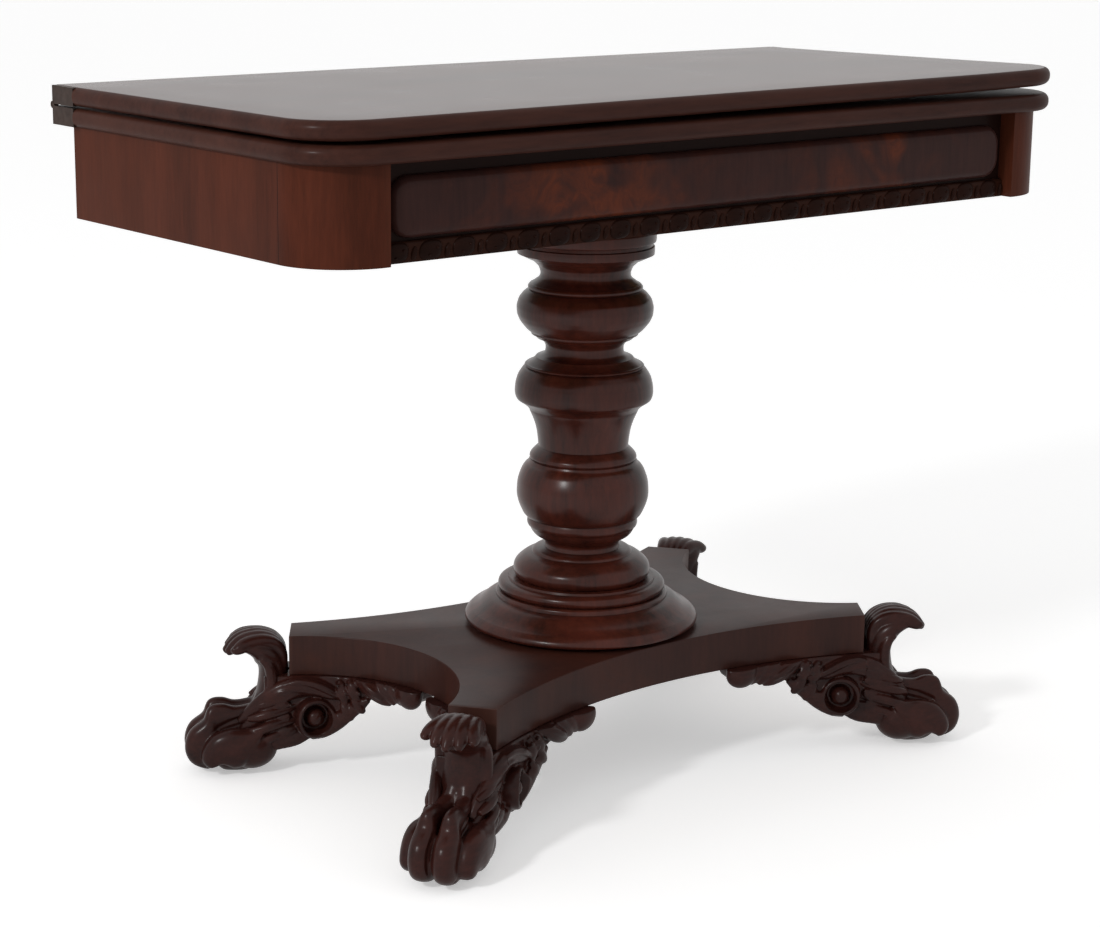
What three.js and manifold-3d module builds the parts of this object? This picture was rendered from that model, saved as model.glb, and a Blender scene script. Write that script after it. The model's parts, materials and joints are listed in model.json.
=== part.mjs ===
// Pedestal card table with a folding, swivelling double top, a box frame with a
// gadrooned front, a turned column, a four-armed plinth and carved winged paw feet.
// Millimetres. +X runs along the long side, the front faces -Y, the floor is at Z zero.
// The origin is on the floor under the column.
import * as THREE from "three";
import { mergeVertices } from "three/addons/utils/BufferGeometryUtils.js";
import Module from "manifold-3d";

const wasm = await Module();
wasm.setup();

// Driving dimensions of the double top
const LEAF_WIDTH = 965;
const LEAF_DEPTH = 454;
const LEAF_THICK = 18;
const LEAF_CORNER_RADIUS = 62;
const LEAF_NOSE_DEPTH = 6.5;
const LEAF_GAP = 1.8;
const LEAF_FRONT_LIFT = 1.4;
const LEAF_TWIST_LIFT = 4.5;
const CORNER_CURL = 2;
const CORNER_CURL_LENGTH = 180;
const FOLD_EDGE_CLEARANCE = 0.3;

// Driving dimensions of the box frame
const FRAME_TOP_HEIGHT = 679.5;
const APRON_HEIGHT = 88.5;
const END_OVERHANG = 8.5;
const FRONT_OVERHANG = 10.5;
const BACK_OVERHANG = 27;
const APRON_THICK = 22;
const APRON_CORNER_RADIUS = 66;
const CORNER_BLOCK_WIDTH = 71.5;
const FRONT_BOARD_SET_BACK = 18.5;
const RAIL_THICK = 18;
const TABLET_HEIGHT = 42.5;
const TABLET_DROP = 18;
const TABLET_THICK = 11;
const TABLET_END_MARGIN = 10;
const TABLET_CORNER_RADIUS = 13;
const TABLET_EDGE_ROUND = 4;
const GADROON_HEIGHT = 18.5;
const GADROON_DEPTH = 9.5;
const GADROON_LOBE_RISE = 4;
const GADROON_PITCH = 29.8;
const FLOOR_BOARD_THICK = 10;
const DIVIDER_THICK = 14;
const DIVIDER_OFFSET = 74;
const PIVOT_RAIL_WIDTH = 110;
const PIVOT_RAIL_THICK = 24;
const GLUE_BLOCK_LEG = 32;
const GLUE_BLOCK_DROP = 2;

// Driving dimensions of the swivel
const PIVOT_BOLT_RADIUS = 5;
const PIVOT_HEAD_RADIUS = 10;
const PIVOT_HEAD_THICK = 5;
const PIVOT_PLATE_SIDE = 64;
const PIVOT_PLATE_THICK = 3;
const PIVOT_WASHER_RADIUS = 13;
const PIVOT_WASHER_THICK = 2;
const PIVOT_NUT_RADIUS = 9;
const PIVOT_NUT_THICK = 8;
const PIVOT_BOLT_TAIL = 4;

// Driving dimensions of the leaf hinges
const HINGE_PLATE_LENGTH = 40;
const HINGE_PLATE_THICK = 5;
const HINGE_KNUCKLE_RADIUS = 3.6;
const HINGE_PIN_RADIUS = 1.4;
const HINGE_EDGE_INSET = 1.2;

// Driving dimensions of the pedestal
const CLEAT_LENGTH = 300;
const CLEAT_WIDTH = 118;
const CLEAT_THICK = 24.5;
const CLEAT_SCREW_RADIUS = 2.5;
const CLEAT_SCREW_HEAD_RADIUS = 5;
const CLEAT_SCREW_HEAD_THICK = 3;
const CLEAT_SCREW_BITE = 7;
const CLEAT_SCREW_MARGIN = 20;
const CAPITAL_RADIUS = 72.5;
const CAPITAL_THICK = 13;
const SHAFT_RADIUS = 72;
const TENON_RADIUS = 24;
const FLARE_RADIUS = 123;
const FLARE_HEIGHT = 49.5;
const PLINTH_THICK = 42;
const PLINTH_TOP_HEIGHT = 148.8;
const PLINTH_FRONT_HALF_DEPTH = 120;
const PLINTH_SIDE_HALF_WIDTH = 203;
const ARM_LONG_CORNER_X = 251;
const ARM_LONG_CORNER_Y = 175;
const ARM_SHORT_CORNER_X = 280;
const ARM_SHORT_CORNER_Y = 136;
const LAG_WASHER_RADIUS = 34;
const LAG_WASHER_THICK = 3;
const LAG_SCREW_RADIUS = 4;
const LAG_SCREW_LENGTH = 60;
const LAG_HEAD_RADIUS = 9;
const LAG_HEAD_THICK = 6;

// Driving dimensions of the carved feet
const PAW_LENGTH = 112.3;
const PAW_HALF_WIDTH = 41;
const PAW_HEIGHT = 75;
const SCROLL_TOP_HEIGHT = 152;
const SCROLL_HALF_WIDTH = 29;
const NECK_HALF_WIDTH = 23;
const LEG_HALF_WIDTH = 15;
const LEG_INNER_REACH = 205;
const WING_THICK = 24;
const WING_PROUD = 3;
const WING_LOBE_RISE = 3.2;
const LONG_WING_LENGTH = 166;
const SHORT_WING_LENGTH = 156;
const WING_FOOT_OVERLAP = 10;
const BOSS_RADIUS = 21;
const BOSS_RING_THICK = 5;
const BOSS_BALL_RADIUS = 10;
const BOSS_HEIGHT = 62;
const BOSS_OFFSET = 26;
const DOWEL_RADIUS = 6;
const DOWEL_LENGTH = 44;

// Clearance between pieces that touch, the overrun that every cut takes, and the
// distance under which points are one
const CLEARANCE = 0.3;
const OVERRUN = 2;
const WELD_DISTANCE = 0.001;
const PROFILE_WELD_DISTANCE = 0.01;

// Counts of facets and stations
const TURNING_SIDES = 18;
const SMALL_SIDES = 10;
const HEXAGON_SIDES = 6;
const CURVE_STEPS = 2;
const CORNER_STEPS = 6;
const PLINTH_ARC_STEPS = 8;
const TABLET_CORNER_STEPS = 3;
const TABLET_EDGE_STEPS = 2;

// Levels that follow from the sizes
const lowerLeafBottom = FRAME_TOP_HEIGHT + CLEARANCE;
const lowerLeafTop = lowerLeafBottom + LEAF_THICK;
const upperLeafBottom = lowerLeafTop + LEAF_GAP;
const foldAxisZ = lowerLeafTop + LEAF_GAP / 2;
const apronBottom = FRAME_TOP_HEIGHT - APRON_HEIGHT;
const floorBoardBottom = apronBottom + CLEARANCE;
const floorBoardTop = floorBoardBottom + FLOOR_BOARD_THICK;
const cleatTop = apronBottom;
const cleatBottom = cleatTop - CLEAT_THICK;
const capitalTop = cleatBottom - CLEARANCE;
const capitalBottom = capitalTop - CAPITAL_THICK;
const shaftTop = capitalBottom - CLEARANCE;
const plinthTop = PLINTH_TOP_HEIGHT;
const plinthBottom = plinthTop - PLINTH_THICK;
const flareBottom = plinthTop + CLEARANCE;
const flareTop = flareBottom + FLARE_HEIGHT;
const shaftBottom = flareTop + CLEARANCE;
const shaftHeight = shaftTop - shaftBottom;
const wingTop = plinthBottom - CLEARANCE;

// Places in plan that follow from the sizes
const leafHalfWidth = LEAF_WIDTH / 2;
const leafHalfDepth = LEAF_DEPTH / 2;
const frameHalfWidth = leafHalfWidth - END_OVERHANG;
const frameFront = FRONT_OVERHANG - leafHalfDepth;
const frameBack = leafHalfDepth - BACK_OVERHANG;
const recessHalfWidth = frameHalfWidth - CORNER_BLOCK_WIDTH;
const frontBoardFace = frameFront + FRONT_BOARD_SET_BACK;
const frontBoardBack = frontBoardFace + RAIL_THICK;
const backRailFace = frameBack - RAIL_THICK;
const innerHalfWidth = frameHalfWidth - APRON_THICK - CLEARANCE;
const railSpanFront = frontBoardBack + CLEARANCE;
const railSpanBack = backRailFace - CLEARANCE;
const pivotX = leafHalfDepth / 2;
const pivotY = leafHalfDepth / 2;
const armAngle = Math.atan2(
  ARM_LONG_CORNER_Y + ARM_SHORT_CORNER_Y,
  ARM_LONG_CORNER_X + ARM_SHORT_CORNER_X,
);
const armEndReach = Math.hypot(
  (ARM_LONG_CORNER_X + ARM_SHORT_CORNER_X) / 2,
  (ARM_LONG_CORNER_Y + ARM_SHORT_CORNER_Y) / 2,
);

// Colours
const MAHOGANY = { color: 0x4a1f17, roughness: 0.42, metalness: 0 };
const FIGURED = { color: 0x5c2a1a, roughness: 0.35, metalness: 0 };
const CARVED = { color: 0x3b1813, roughness: 0.4, metalness: 0 };
const SECONDARY = { color: 0x8a6a45, roughness: 0.8, metalness: 0 };
const BRASS = { color: 0x6d5a34, roughness: 0.5, metalness: 0.9 };
const IRON = { color: 0x3a3836, roughness: 0.6, metalness: 0.8 };

// The assembly and the helper that adds a named piece to it
const table = new THREE.Group();

function addPiece(name, geometry, finish) {
  const mesh = new THREE.Mesh(geometry, new THREE.MeshStandardMaterial(finish));
  mesh.name = name;
  table.add(mesh);
  return mesh;
}

// Solid joins and cuts
function toSolid(geometry) {
  const bare = geometry.clone();
  bare.deleteAttribute("normal");
  bare.deleteAttribute("uv");
  const merged = mergeVertices(bare, WELD_DISTANCE);
  const mesh = new wasm.Mesh({
    numProp: 3,
    vertProperties: new Float32Array(merged.attributes.position.array),
    triVerts: new Uint32Array(merged.index.array),
  });
  return new wasm.Manifold(mesh);
}

function fromSolid(solid) {
  const mesh = solid.getMesh();
  const geometry = new THREE.BufferGeometry();
  geometry.setAttribute("position", new THREE.BufferAttribute(mesh.vertProperties, 3));
  geometry.setIndex(new THREE.BufferAttribute(mesh.triVerts, 1));
  geometry.computeVertexNormals();
  return geometry;
}

function cutAway(geometry, cutters) {
  let solid = toSolid(geometry);
  for (const cutter of cutters) {
    solid = solid.subtract(toSolid(cutter));
  }
  return fromSolid(solid);
}

function joinAll(geometries) {
  let solid = toSolid(geometries[0]);
  for (const other of geometries.slice(1)) {
    solid = solid.add(toSolid(other));
  }
  return fromSolid(solid);
}

// Basic shapes placed by their limits
function block(x0, x1, y0, y1, z0, z1) {
  const geometry = new THREE.BoxGeometry(x1 - x0, y1 - y0, z1 - z0);
  geometry.translate((x0 + x1) / 2, (y0 + y1) / 2, (z0 + z1) / 2);
  return geometry;
}

function rod(x, y, z0, z1, radius, sides = SMALL_SIDES) {
  const geometry = new THREE.CylinderGeometry(radius, radius, z1 - z0, sides);
  geometry.rotateX(Math.PI / 2);
  geometry.translate(x, y, (z0 + z1) / 2);
  return geometry;
}

function rodAlongX(x0, x1, y, z, radius, sides = SMALL_SIDES) {
  const geometry = new THREE.CylinderGeometry(radius, radius, x1 - x0, sides);
  geometry.rotateZ(Math.PI / 2);
  geometry.translate((x0 + x1) / 2, y, z);
  return geometry;
}

function raised(shape, z0, z1, curveSegments = CORNER_STEPS) {
  const geometry = new THREE.ExtrudeGeometry(shape, {
    depth: z1 - z0,
    bevelEnabled: false,
    curveSegments,
    steps: 1,
  });
  geometry.translate(0, 0, z0);
  return geometry;
}

// Radius of a faceted hole whose flats clear a round piece
function clearOf(radius, sides = SMALL_SIDES) {
  return (radius + CLEARANCE) / Math.cos(Math.PI / sides);
}

function roundHole(x, y, radius, sides = SMALL_SIDES) {
  const hole = new THREE.Path();
  for (let i = 0; i < sides; i += 1) {
    const angle = (-Math.PI * 2 * i) / sides;
    const px = x + radius * Math.cos(angle);
    const py = y + radius * Math.sin(angle);
    if (i === 0) {
      hole.moveTo(px, py);
    } else {
      hole.lineTo(px, py);
    }
  }
  hole.closePath();
  return hole;
}

// A body of revolution about Z from a path of radius and height
function turned(path, sides = TURNING_SIDES, steps = CURVE_STEPS) {
  const points = path.getPoints(steps);
  const kept = points.filter((p, i) => {
    return i === 0 || p.distanceTo(points[i - 1]) > PROFILE_WELD_DISTANCE;
  });
  const profile = kept.map((p) => new THREE.Vector2(Math.max(p.x, 0), p.y));
  const geometry = new THREE.LatheGeometry(profile, sides);
  geometry.rotateX(Math.PI / 2);
  return solidFacingOut(geometry);
}

// Flips a closed mesh whose faces point inwards
function signedVolume(geometry) {
  const mesh = geometry.index ? geometry.toNonIndexed() : geometry;
  const p = mesh.attributes.position.array;
  let volume = 0;
  for (let i = 0; i < p.length; i += 9) {
    const a = new THREE.Vector3(p[i], p[i + 1], p[i + 2]);
    const b = new THREE.Vector3(p[i + 3], p[i + 4], p[i + 5]);
    const c = new THREE.Vector3(p[i + 6], p[i + 7], p[i + 8]);
    volume += a.dot(b.cross(c)) / 6;
  }
  return volume;
}

function flipped(geometry) {
  const mesh = geometry.index ? geometry.clone() : mergeVertices(geometry);
  const index = mesh.index.array;
  for (let i = 0; i < index.length; i += 3) {
    const second = index[i + 1];
    index[i + 1] = index[i + 2];
    index[i + 2] = second;
  }
  mesh.computeVertexNormals();
  return mesh;
}

function solidFacingOut(geometry) {
  return signedVolume(geometry) < 0 ? flipped(geometry) : geometry;
}

function mirrored(geometry, signX, signY) {
  const copy = geometry.clone();
  copy.applyMatrix4(new THREE.Matrix4().makeScale(signX, signY, 1));
  return signX * signY < 0 ? flipped(copy) : copy;
}

// A closed skin over rings of points, with fans over the first and last ring
function lofted(rings) {
  const count = rings[0].length;
  const vertices = [];
  const index = [];
  for (const ring of rings) {
    for (const p of ring) {
      vertices.push(p.x, p.y, p.z);
    }
  }
  for (let r = 0; r + 1 < rings.length; r += 1) {
    for (let i = 0; i < count; i += 1) {
      const next = (i + 1) % count;
      const a = r * count + i;
      const b = r * count + next;
      index.push(a, b, b + count);
      index.push(a, b + count, a + count);
    }
  }
  for (const end of [0, rings.length - 1]) {
    const centre = new THREE.Vector3();
    for (const p of rings[end]) {
      centre.add(p);
    }
    centre.divideScalar(count);
    const hub = vertices.length / 3;
    vertices.push(centre.x, centre.y, centre.z);
    for (let i = 0; i < count; i += 1) {
      const a = end * count + i;
      const b = end * count + ((i + 1) % count);
      index.push(...(end === 0 ? [hub, b, a] : [hub, a, b]));
    }
  }
  const geometry = new THREE.BufferGeometry();
  geometry.setAttribute("position", new THREE.Float32BufferAttribute(vertices, 3));
  geometry.setIndex(index);
  geometry.computeVertexNormals();
  return solidFacingOut(geometry);
}

// Leaf of the double top: straight back edge, round front corners, bullnose on three sides
const LEAF_FLAT_GRID = { rows: 1, columns: 2 };
const LEAF_TWIST_GRID = { rows: 3, columns: 6 };
const LEAF_NOSE_STEPS = 3;
const noseFullnessShare = 0.6;

function leafChain(inset, grid) {
  const chain = [];
  const halfWidth = leafHalfWidth - inset;
  const front = inset - leafHalfDepth;
  const radius = LEAF_CORNER_RADIUS - inset;
  const cornerY = front + radius;
  for (let i = 0; i <= grid.rows; i += 1) {
    const y = THREE.MathUtils.lerp(leafHalfDepth, cornerY, i / grid.rows);
    chain.push(new THREE.Vector2(-halfWidth, y));
  }
  for (let i = 1; i <= CORNER_STEPS; i += 1) {
    const angle = Math.PI + (Math.PI / 2) * (i / CORNER_STEPS);
    const x = radius - halfWidth + radius * Math.cos(angle);
    chain.push(new THREE.Vector2(x, cornerY + radius * Math.sin(angle)));
  }
  const last = chain[chain.length - 1];
  for (let i = 1; i < grid.columns; i += 1) {
    const x = THREE.MathUtils.lerp(last.x, -last.x, i / grid.columns);
    chain.push(new THREE.Vector2(x, last.y));
  }
  for (let i = grid.rows + CORNER_STEPS; i >= 0; i -= 1) {
    chain.push(new THREE.Vector2(-chain[i].x, chain[i].y));
  }
  return chain;
}

function leafGeometry(bottom, grid) {
  const half = LEAF_THICK / 2;
  const rows = grid.rows + CORNER_STEPS;
  const vertices = [];
  const index = [];
  const bands = [];
  for (let k = 0; k <= 2 * LEAF_NOSE_STEPS; k += 1) {
    const angle = (Math.PI / 2) * (k / LEAF_NOSE_STEPS - 1);
    const inset = LEAF_NOSE_DEPTH * (1 - Math.cos(angle) ** noseFullnessShare);
    const z = bottom + half + half * Math.sin(angle);
    const band = leafChain(inset, grid).map((p) => {
      vertices.push(p.x, p.y, z);
      return vertices.length / 3 - 1;
    });
    bands.push(band);
  }
  for (let k = 0; k + 1 < bands.length; k += 1) {
    for (let i = 0; i + 1 < bands[k].length; i += 1) {
      const a = bands[k][i];
      const b = bands[k][i + 1];
      const c = bands[k + 1][i + 1];
      const d = bands[k + 1][i];
      index.push(a, b, c, a, c, d);
    }
  }
  const at = (i, axis) => vertices[3 * i + axis];
  const faceGrid = (band, up) => {
    const last = band.length - 1;
    const lines = [];
    for (let row = 0; row <= rows; row += 1) {
      const left = band[row];
      const right = band[last - row];
      const line = [left];
      for (let j = 1; j < grid.columns; j += 1) {
        if (row === rows) {
          line.push(band[rows + j]);
          continue;
        }
        const x = THREE.MathUtils.lerp(at(left, 0), at(right, 0), j / grid.columns);
        vertices.push(x, at(left, 1), at(left, 2));
        line.push(vertices.length / 3 - 1);
      }
      line.push(right);
      lines.push(line);
    }
    for (let row = 0; row < rows; row += 1) {
      for (let j = 0; j < grid.columns; j += 1) {
        const a = lines[row][j];
        const b = lines[row][j + 1];
        const c = lines[row + 1][j + 1];
        const d = lines[row + 1][j];
        index.push(...(up ? [a, c, b, a, d, c] : [a, b, c, a, c, d]));
      }
    }
    return lines[0];
  };
  const lowerBack = faceGrid(bands[0], false);
  const upperBack = faceGrid(bands[bands.length - 1], true);
  const leftEdge = bands.map((band) => band[0]);
  const rightEdge = bands.map((band) => band[band.length - 1]);
  const loop = [
    ...lowerBack,
    ...rightEdge.slice(1, -1),
    ...upperBack.slice().reverse(),
    ...leftEdge.slice(1, -1).reverse(),
  ];
  vertices.push(0, leafHalfDepth, bottom + half);
  const hub = vertices.length / 3 - 1;
  for (let i = 0; i < loop.length; i += 1) {
    index.push(hub, loop[(i + 1) % loop.length], loop[i]);
  }
  const geometry = new THREE.BufferGeometry();
  geometry.setAttribute("position", new THREE.Float32BufferAttribute(vertices, 3));
  geometry.setIndex(index);
  return solidFacingOut(geometry);
}

// A slight wind in the upper leaf that lifts its front, and most of all the right corner
function twisted(geometry) {
  const p = geometry.attributes.position;
  const start = leafHalfWidth - CORNER_CURL_LENGTH;
  for (let i = 0; i < p.count; i += 1) {
    const rightward = Math.max(0, (p.getX(i) + leafHalfWidth) / LEAF_WIDTH);
    const forward = Math.max(0, (leafHalfDepth - p.getY(i)) / LEAF_DEPTH);
    const curl = Math.max(0, (p.getX(i) - start) / CORNER_CURL_LENGTH);
    const twist = (LEAF_FRONT_LIFT + LEAF_TWIST_LIFT * rightward) * forward;
    p.setZ(i, p.getZ(i) + twist + CORNER_CURL * curl ** 2 * forward ** 2);
  }
  return geometry;
}

function hingeRebate(side, z0, z1) {
  const outer = side * (leafHalfWidth + OVERRUN);
  const inner = side * (leafHalfWidth - HINGE_EDGE_INSET - HINGE_PLATE_THICK - CLEARANCE);
  const y0 = leafHalfDepth - HINGE_PLATE_LENGTH - CLEARANCE;
  return block(Math.min(outer, inner), Math.max(outer, inner), y0, leafHalfDepth + OVERRUN, z0, z1);
}

function makeLeaves() {
  const pocketTop = lowerLeafBottom + PIVOT_PLATE_THICK + CLEARANCE;
  const half = PIVOT_PLATE_SIDE / 2 + CLEARANCE;
  const under = lowerLeafBottom - OVERRUN;
  const headTop = pocketTop + PIVOT_HEAD_THICK + CLEARANCE;
  const lower = cutAway(leafGeometry(lowerLeafBottom, LEAF_FLAT_GRID), [
    block(pivotX - half, pivotX + half, pivotY - half, pivotY + half, under, pocketTop),
    rod(pivotX, pivotY, under, headTop, clearOf(PIVOT_HEAD_RADIUS)),
    hingeRebate(-1, under, lowerLeafTop + OVERRUN),
    hingeRebate(1, under, lowerLeafTop + OVERRUN),
  ]);
  addPiece("lower_leaf", lower, MAHOGANY);
  const over = upperLeafBottom + 2 * LEAF_THICK;
  const flat = leafGeometry(upperLeafBottom, LEAF_TWIST_GRID);
  const upper = cutAway(twisted(flat), [
    hingeRebate(-1, upperLeafBottom - OVERRUN, over),
    hingeRebate(1, upperLeafBottom - OVERRUN, over),
  ]);
  addPiece("upper_leaf", upper, MAHOGANY);
}

// Hinges let into the ends of the leaves, with half-width knuckles side by side
const hingeOuter = leafHalfWidth - HINGE_EDGE_INSET;
const hingeInner = hingeOuter - HINGE_PLATE_THICK;
const hingeMiddle = (hingeOuter + hingeInner) / 2;
const foldAxisY = leafHalfDepth + FOLD_EDGE_CLEARANCE;

function hingePlate(side, upper) {
  const y0 = leafHalfDepth - HINGE_PLATE_LENGTH;
  const z0 = upper ? upperLeafBottom : lowerLeafBottom + CLEARANCE;
  const z1 = upper ? upperLeafBottom + LEAF_THICK - CLEARANCE : lowerLeafTop;
  const split = CLEARANCE / 2;
  const ownX = upper ? [hingeInner, hingeMiddle - split] : [hingeMiddle + split, hingeOuter];
  const otherInner = upper ? hingeMiddle - split : hingeInner - OVERRUN;
  const otherOuter = upper ? hingeOuter + OVERRUN : hingeMiddle + split;
  const plate = block(hingeInner, hingeOuter, y0, leafHalfDepth, z0, z1);
  const knuckle = rodAlongX(ownX[0], ownX[1], foldAxisY, foldAxisZ, HINGE_KNUCKLE_RADIUS);
  const neckY = leafHalfDepth - HINGE_KNUCKLE_RADIUS;
  const neckZ0 = upper ? foldAxisZ : lowerLeafTop - CLEARANCE;
  const neckZ1 = upper ? upperLeafBottom + CLEARANCE : foldAxisZ;
  const neck = block(ownX[0], ownX[1], neckY, leafHalfDepth, neckZ0, neckZ1);
  const swingRadius = clearOf(HINGE_KNUCKLE_RADIUS);
  const swing = rodAlongX(otherInner, otherOuter, foldAxisY, foldAxisZ, swingRadius);
  const boreRadius = clearOf(HINGE_PIN_RADIUS);
  const bore = rodAlongX(hingeInner - OVERRUN, hingeOuter + OVERRUN, foldAxisY, foldAxisZ, boreRadius);
  const whole = cutAway(joinAll([plate, knuckle, neck]), [swing, bore]);
  return side < 0 ? mirrored(whole, -1, 1) : whole;
}

function makeHinges() {
  for (const [side, word] of [[-1, "left"], [1, "right"]]) {
    addPiece(`hinge_plate_lower_${word}`, hingePlate(side, false), BRASS);
    addPiece(`hinge_plate_upper_${word}`, hingePlate(side, true), BRASS);
    const pin = rodAlongX(hingeInner, hingeOuter, foldAxisY, foldAxisZ, HINGE_PIN_RADIUS);
    addPiece(`hinge_pin_${word}`, side < 0 ? mirrored(pin, -1, 1) : pin, BRASS);
  }
}

// Swivel: plate and bolt fixed to the lower leaf, washer and nut under the pivot rail
function makeSwivel() {
  const plateTop = lowerLeafBottom + PIVOT_PLATE_THICK;
  const railBottom = FRAME_TOP_HEIGHT - PIVOT_RAIL_THICK;
  const washerTop = railBottom - CLEARANCE;
  const washerBottom = washerTop - PIVOT_WASHER_THICK;
  const nutTop = washerBottom - CLEARANCE;
  const nutBottom = nutTop - PIVOT_NUT_THICK;
  const half = PIVOT_PLATE_SIDE / 2;
  const bore = clearOf(PIVOT_BOLT_RADIUS);
  const plate = cutAway(
    block(pivotX - half, pivotX + half, pivotY - half, pivotY + half, lowerLeafBottom, plateTop),
    [rod(pivotX, pivotY, lowerLeafBottom - OVERRUN, plateTop + OVERRUN, bore)],
  );
  addPiece("pivot_plate", plate, IRON);
  const headBottom = plateTop + CLEARANCE;
  const bolt = joinAll([
    rod(pivotX, pivotY, nutBottom - PIVOT_BOLT_TAIL, headBottom + PIVOT_HEAD_THICK / 2, PIVOT_BOLT_RADIUS),
    rod(pivotX, pivotY, headBottom, headBottom + PIVOT_HEAD_THICK, PIVOT_HEAD_RADIUS),
  ]);
  addPiece("pivot_bolt", bolt, IRON);
  const washer = cutAway(rod(pivotX, pivotY, washerBottom, washerTop, PIVOT_WASHER_RADIUS), [
    rod(pivotX, pivotY, washerBottom - OVERRUN, washerTop + OVERRUN, bore),
  ]);
  addPiece("pivot_washer", washer, IRON);
  const nut = cutAway(rod(pivotX, pivotY, nutBottom, nutTop, PIVOT_NUT_RADIUS, HEXAGON_SIDES), [
    rod(pivotX, pivotY, nutBottom - OVERRUN, nutTop + OVERRUN, bore),
  ]);
  addPiece("pivot_nut", nut, IRON);
}

// End apron: a straight side board that turns into a round front corner block
function endApronShape() {
  const shape = new THREE.Shape();
  const outer = frameHalfWidth;
  const inner = frameHalfWidth - APRON_THICK;
  const arcX = outer - APRON_CORNER_RADIUS;
  const arcY = frameFront + APRON_CORNER_RADIUS;
  shape.moveTo(outer, frameBack);
  shape.lineTo(inner, frameBack);
  shape.lineTo(inner, frontBoardBack);
  shape.lineTo(recessHalfWidth, frontBoardBack);
  shape.lineTo(recessHalfWidth, frameFront);
  shape.lineTo(arcX, frameFront);
  shape.absarc(arcX, arcY, APRON_CORNER_RADIUS, -Math.PI / 2, 0, false);
  shape.lineTo(outer, frameBack);
  return shape;
}

function makeFrame() {
  const end = raised(endApronShape(), apronBottom, FRAME_TOP_HEIGHT);
  addPiece("end_apron_right", end, FIGURED);
  addPiece("end_apron_left", mirrored(mergeVertices(end), -1, 1), FIGURED);
  const boardHalf = recessHalfWidth - CLEARANCE;
  addPiece(
    "front_rail",
    block(-boardHalf, boardHalf, frontBoardFace, frontBoardBack, apronBottom, FRAME_TOP_HEIGHT),
    MAHOGANY,
  );
  addPiece(
    "back_rail",
    block(-innerHalfWidth, innerHalfWidth, backRailFace, frameBack, apronBottom, FRAME_TOP_HEIGHT),
    SECONDARY,
  );
  const blockFar = backRailFace - CLEARANCE;
  for (const [side, word] of [[-1, "left"], [1, "right"]]) {
    const shape = new THREE.Shape();
    shape.moveTo(side * innerHalfWidth, blockFar);
    shape.lineTo(side * (innerHalfWidth - GLUE_BLOCK_LEG), blockFar);
    shape.lineTo(side * innerHalfWidth, blockFar - GLUE_BLOCK_LEG);
    const glue = raised(shape, floorBoardTop + CLEARANCE, FRAME_TOP_HEIGHT - GLUE_BLOCK_DROP);
    addPiece(`glue_block_${word}`, solidFacingOut(glue), SECONDARY);
  }
}

// Inside of the frame: floor board, well divider and the rail that carries the swivel
const screwX = CLEAT_LENGTH / 2 - CLEAT_SCREW_MARGIN;
const screwY = CLEAT_WIDTH / 2 - CLEAT_SCREW_MARGIN;
const screwPlaces = [
  [-1, -1],
  [-1, 1],
  [1, -1],
  [1, 1],
];

function makeFrameInside() {
  const floor = new THREE.Shape();
  floor.moveTo(-innerHalfWidth, railSpanFront);
  floor.lineTo(innerHalfWidth, railSpanFront);
  floor.lineTo(innerHalfWidth, railSpanBack);
  floor.lineTo(-innerHalfWidth, railSpanBack);
  for (const [sx, sy] of screwPlaces) {
    floor.holes.push(roundHole(sx * screwX, sy * screwY, clearOf(CLEAT_SCREW_RADIUS)));
  }
  addPiece("well_floor", raised(floor, floorBoardBottom, floorBoardTop), SECONDARY);
  const dividerRight = pivotX - DIVIDER_OFFSET;
  const dividerLeft = dividerRight - DIVIDER_THICK;
  const dividerBottom = floorBoardTop + CLEARANCE;
  addPiece(
    "well_divider",
    block(dividerLeft, dividerRight, railSpanFront, railSpanBack, dividerBottom, FRAME_TOP_HEIGHT),
    SECONDARY,
  );
  const rail = new THREE.Shape();
  const half = PIVOT_RAIL_WIDTH / 2;
  rail.moveTo(pivotX - half, railSpanFront);
  rail.lineTo(pivotX + half, railSpanFront);
  rail.lineTo(pivotX + half, railSpanBack);
  rail.lineTo(pivotX - half, railSpanBack);
  rail.holes.push(roundHole(pivotX, pivotY, clearOf(PIVOT_BOLT_RADIUS)));
  addPiece("pivot_rail", raised(rail, FRAME_TOP_HEIGHT - PIVOT_RAIL_THICK, FRAME_TOP_HEIGHT), SECONDARY);
}

// Raised tablet with eased edges on the recessed front board
function makeTablet() {
  const shape = new THREE.Shape();
  const halfLength = recessHalfWidth - TABLET_END_MARGIN - TABLET_EDGE_ROUND;
  const top = FRAME_TOP_HEIGHT - TABLET_DROP - TABLET_EDGE_ROUND;
  const bottom = FRAME_TOP_HEIGHT - TABLET_DROP - TABLET_HEIGHT + TABLET_EDGE_ROUND;
  const radius = TABLET_CORNER_RADIUS - TABLET_EDGE_ROUND;
  shape.moveTo(-halfLength + radius, bottom);
  shape.absarc(halfLength - radius, bottom + radius, radius, -Math.PI / 2, 0, false);
  shape.absarc(halfLength - radius, top - radius, radius, 0, Math.PI / 2, false);
  shape.absarc(-halfLength + radius, top - radius, radius, Math.PI / 2, Math.PI, false);
  shape.absarc(-halfLength + radius, bottom + radius, radius, Math.PI, Math.PI * 1.5, false);
  const geometry = new THREE.ExtrudeGeometry(shape, {
    depth: TABLET_THICK - 2 * TABLET_EDGE_ROUND,
    bevelEnabled: true,
    bevelThickness: TABLET_EDGE_ROUND,
    bevelSize: TABLET_EDGE_ROUND,
    bevelSegments: TABLET_EDGE_STEPS,
    curveSegments: TABLET_CORNER_STEPS,
  });
  geometry.rotateX(Math.PI / 2);
  geometry.translate(0, frontBoardFace - CLEARANCE - TABLET_EDGE_ROUND, 0);
  addPiece("front_tablet", solidFacingOut(mergeVertices(geometry)), FIGURED);
}

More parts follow.
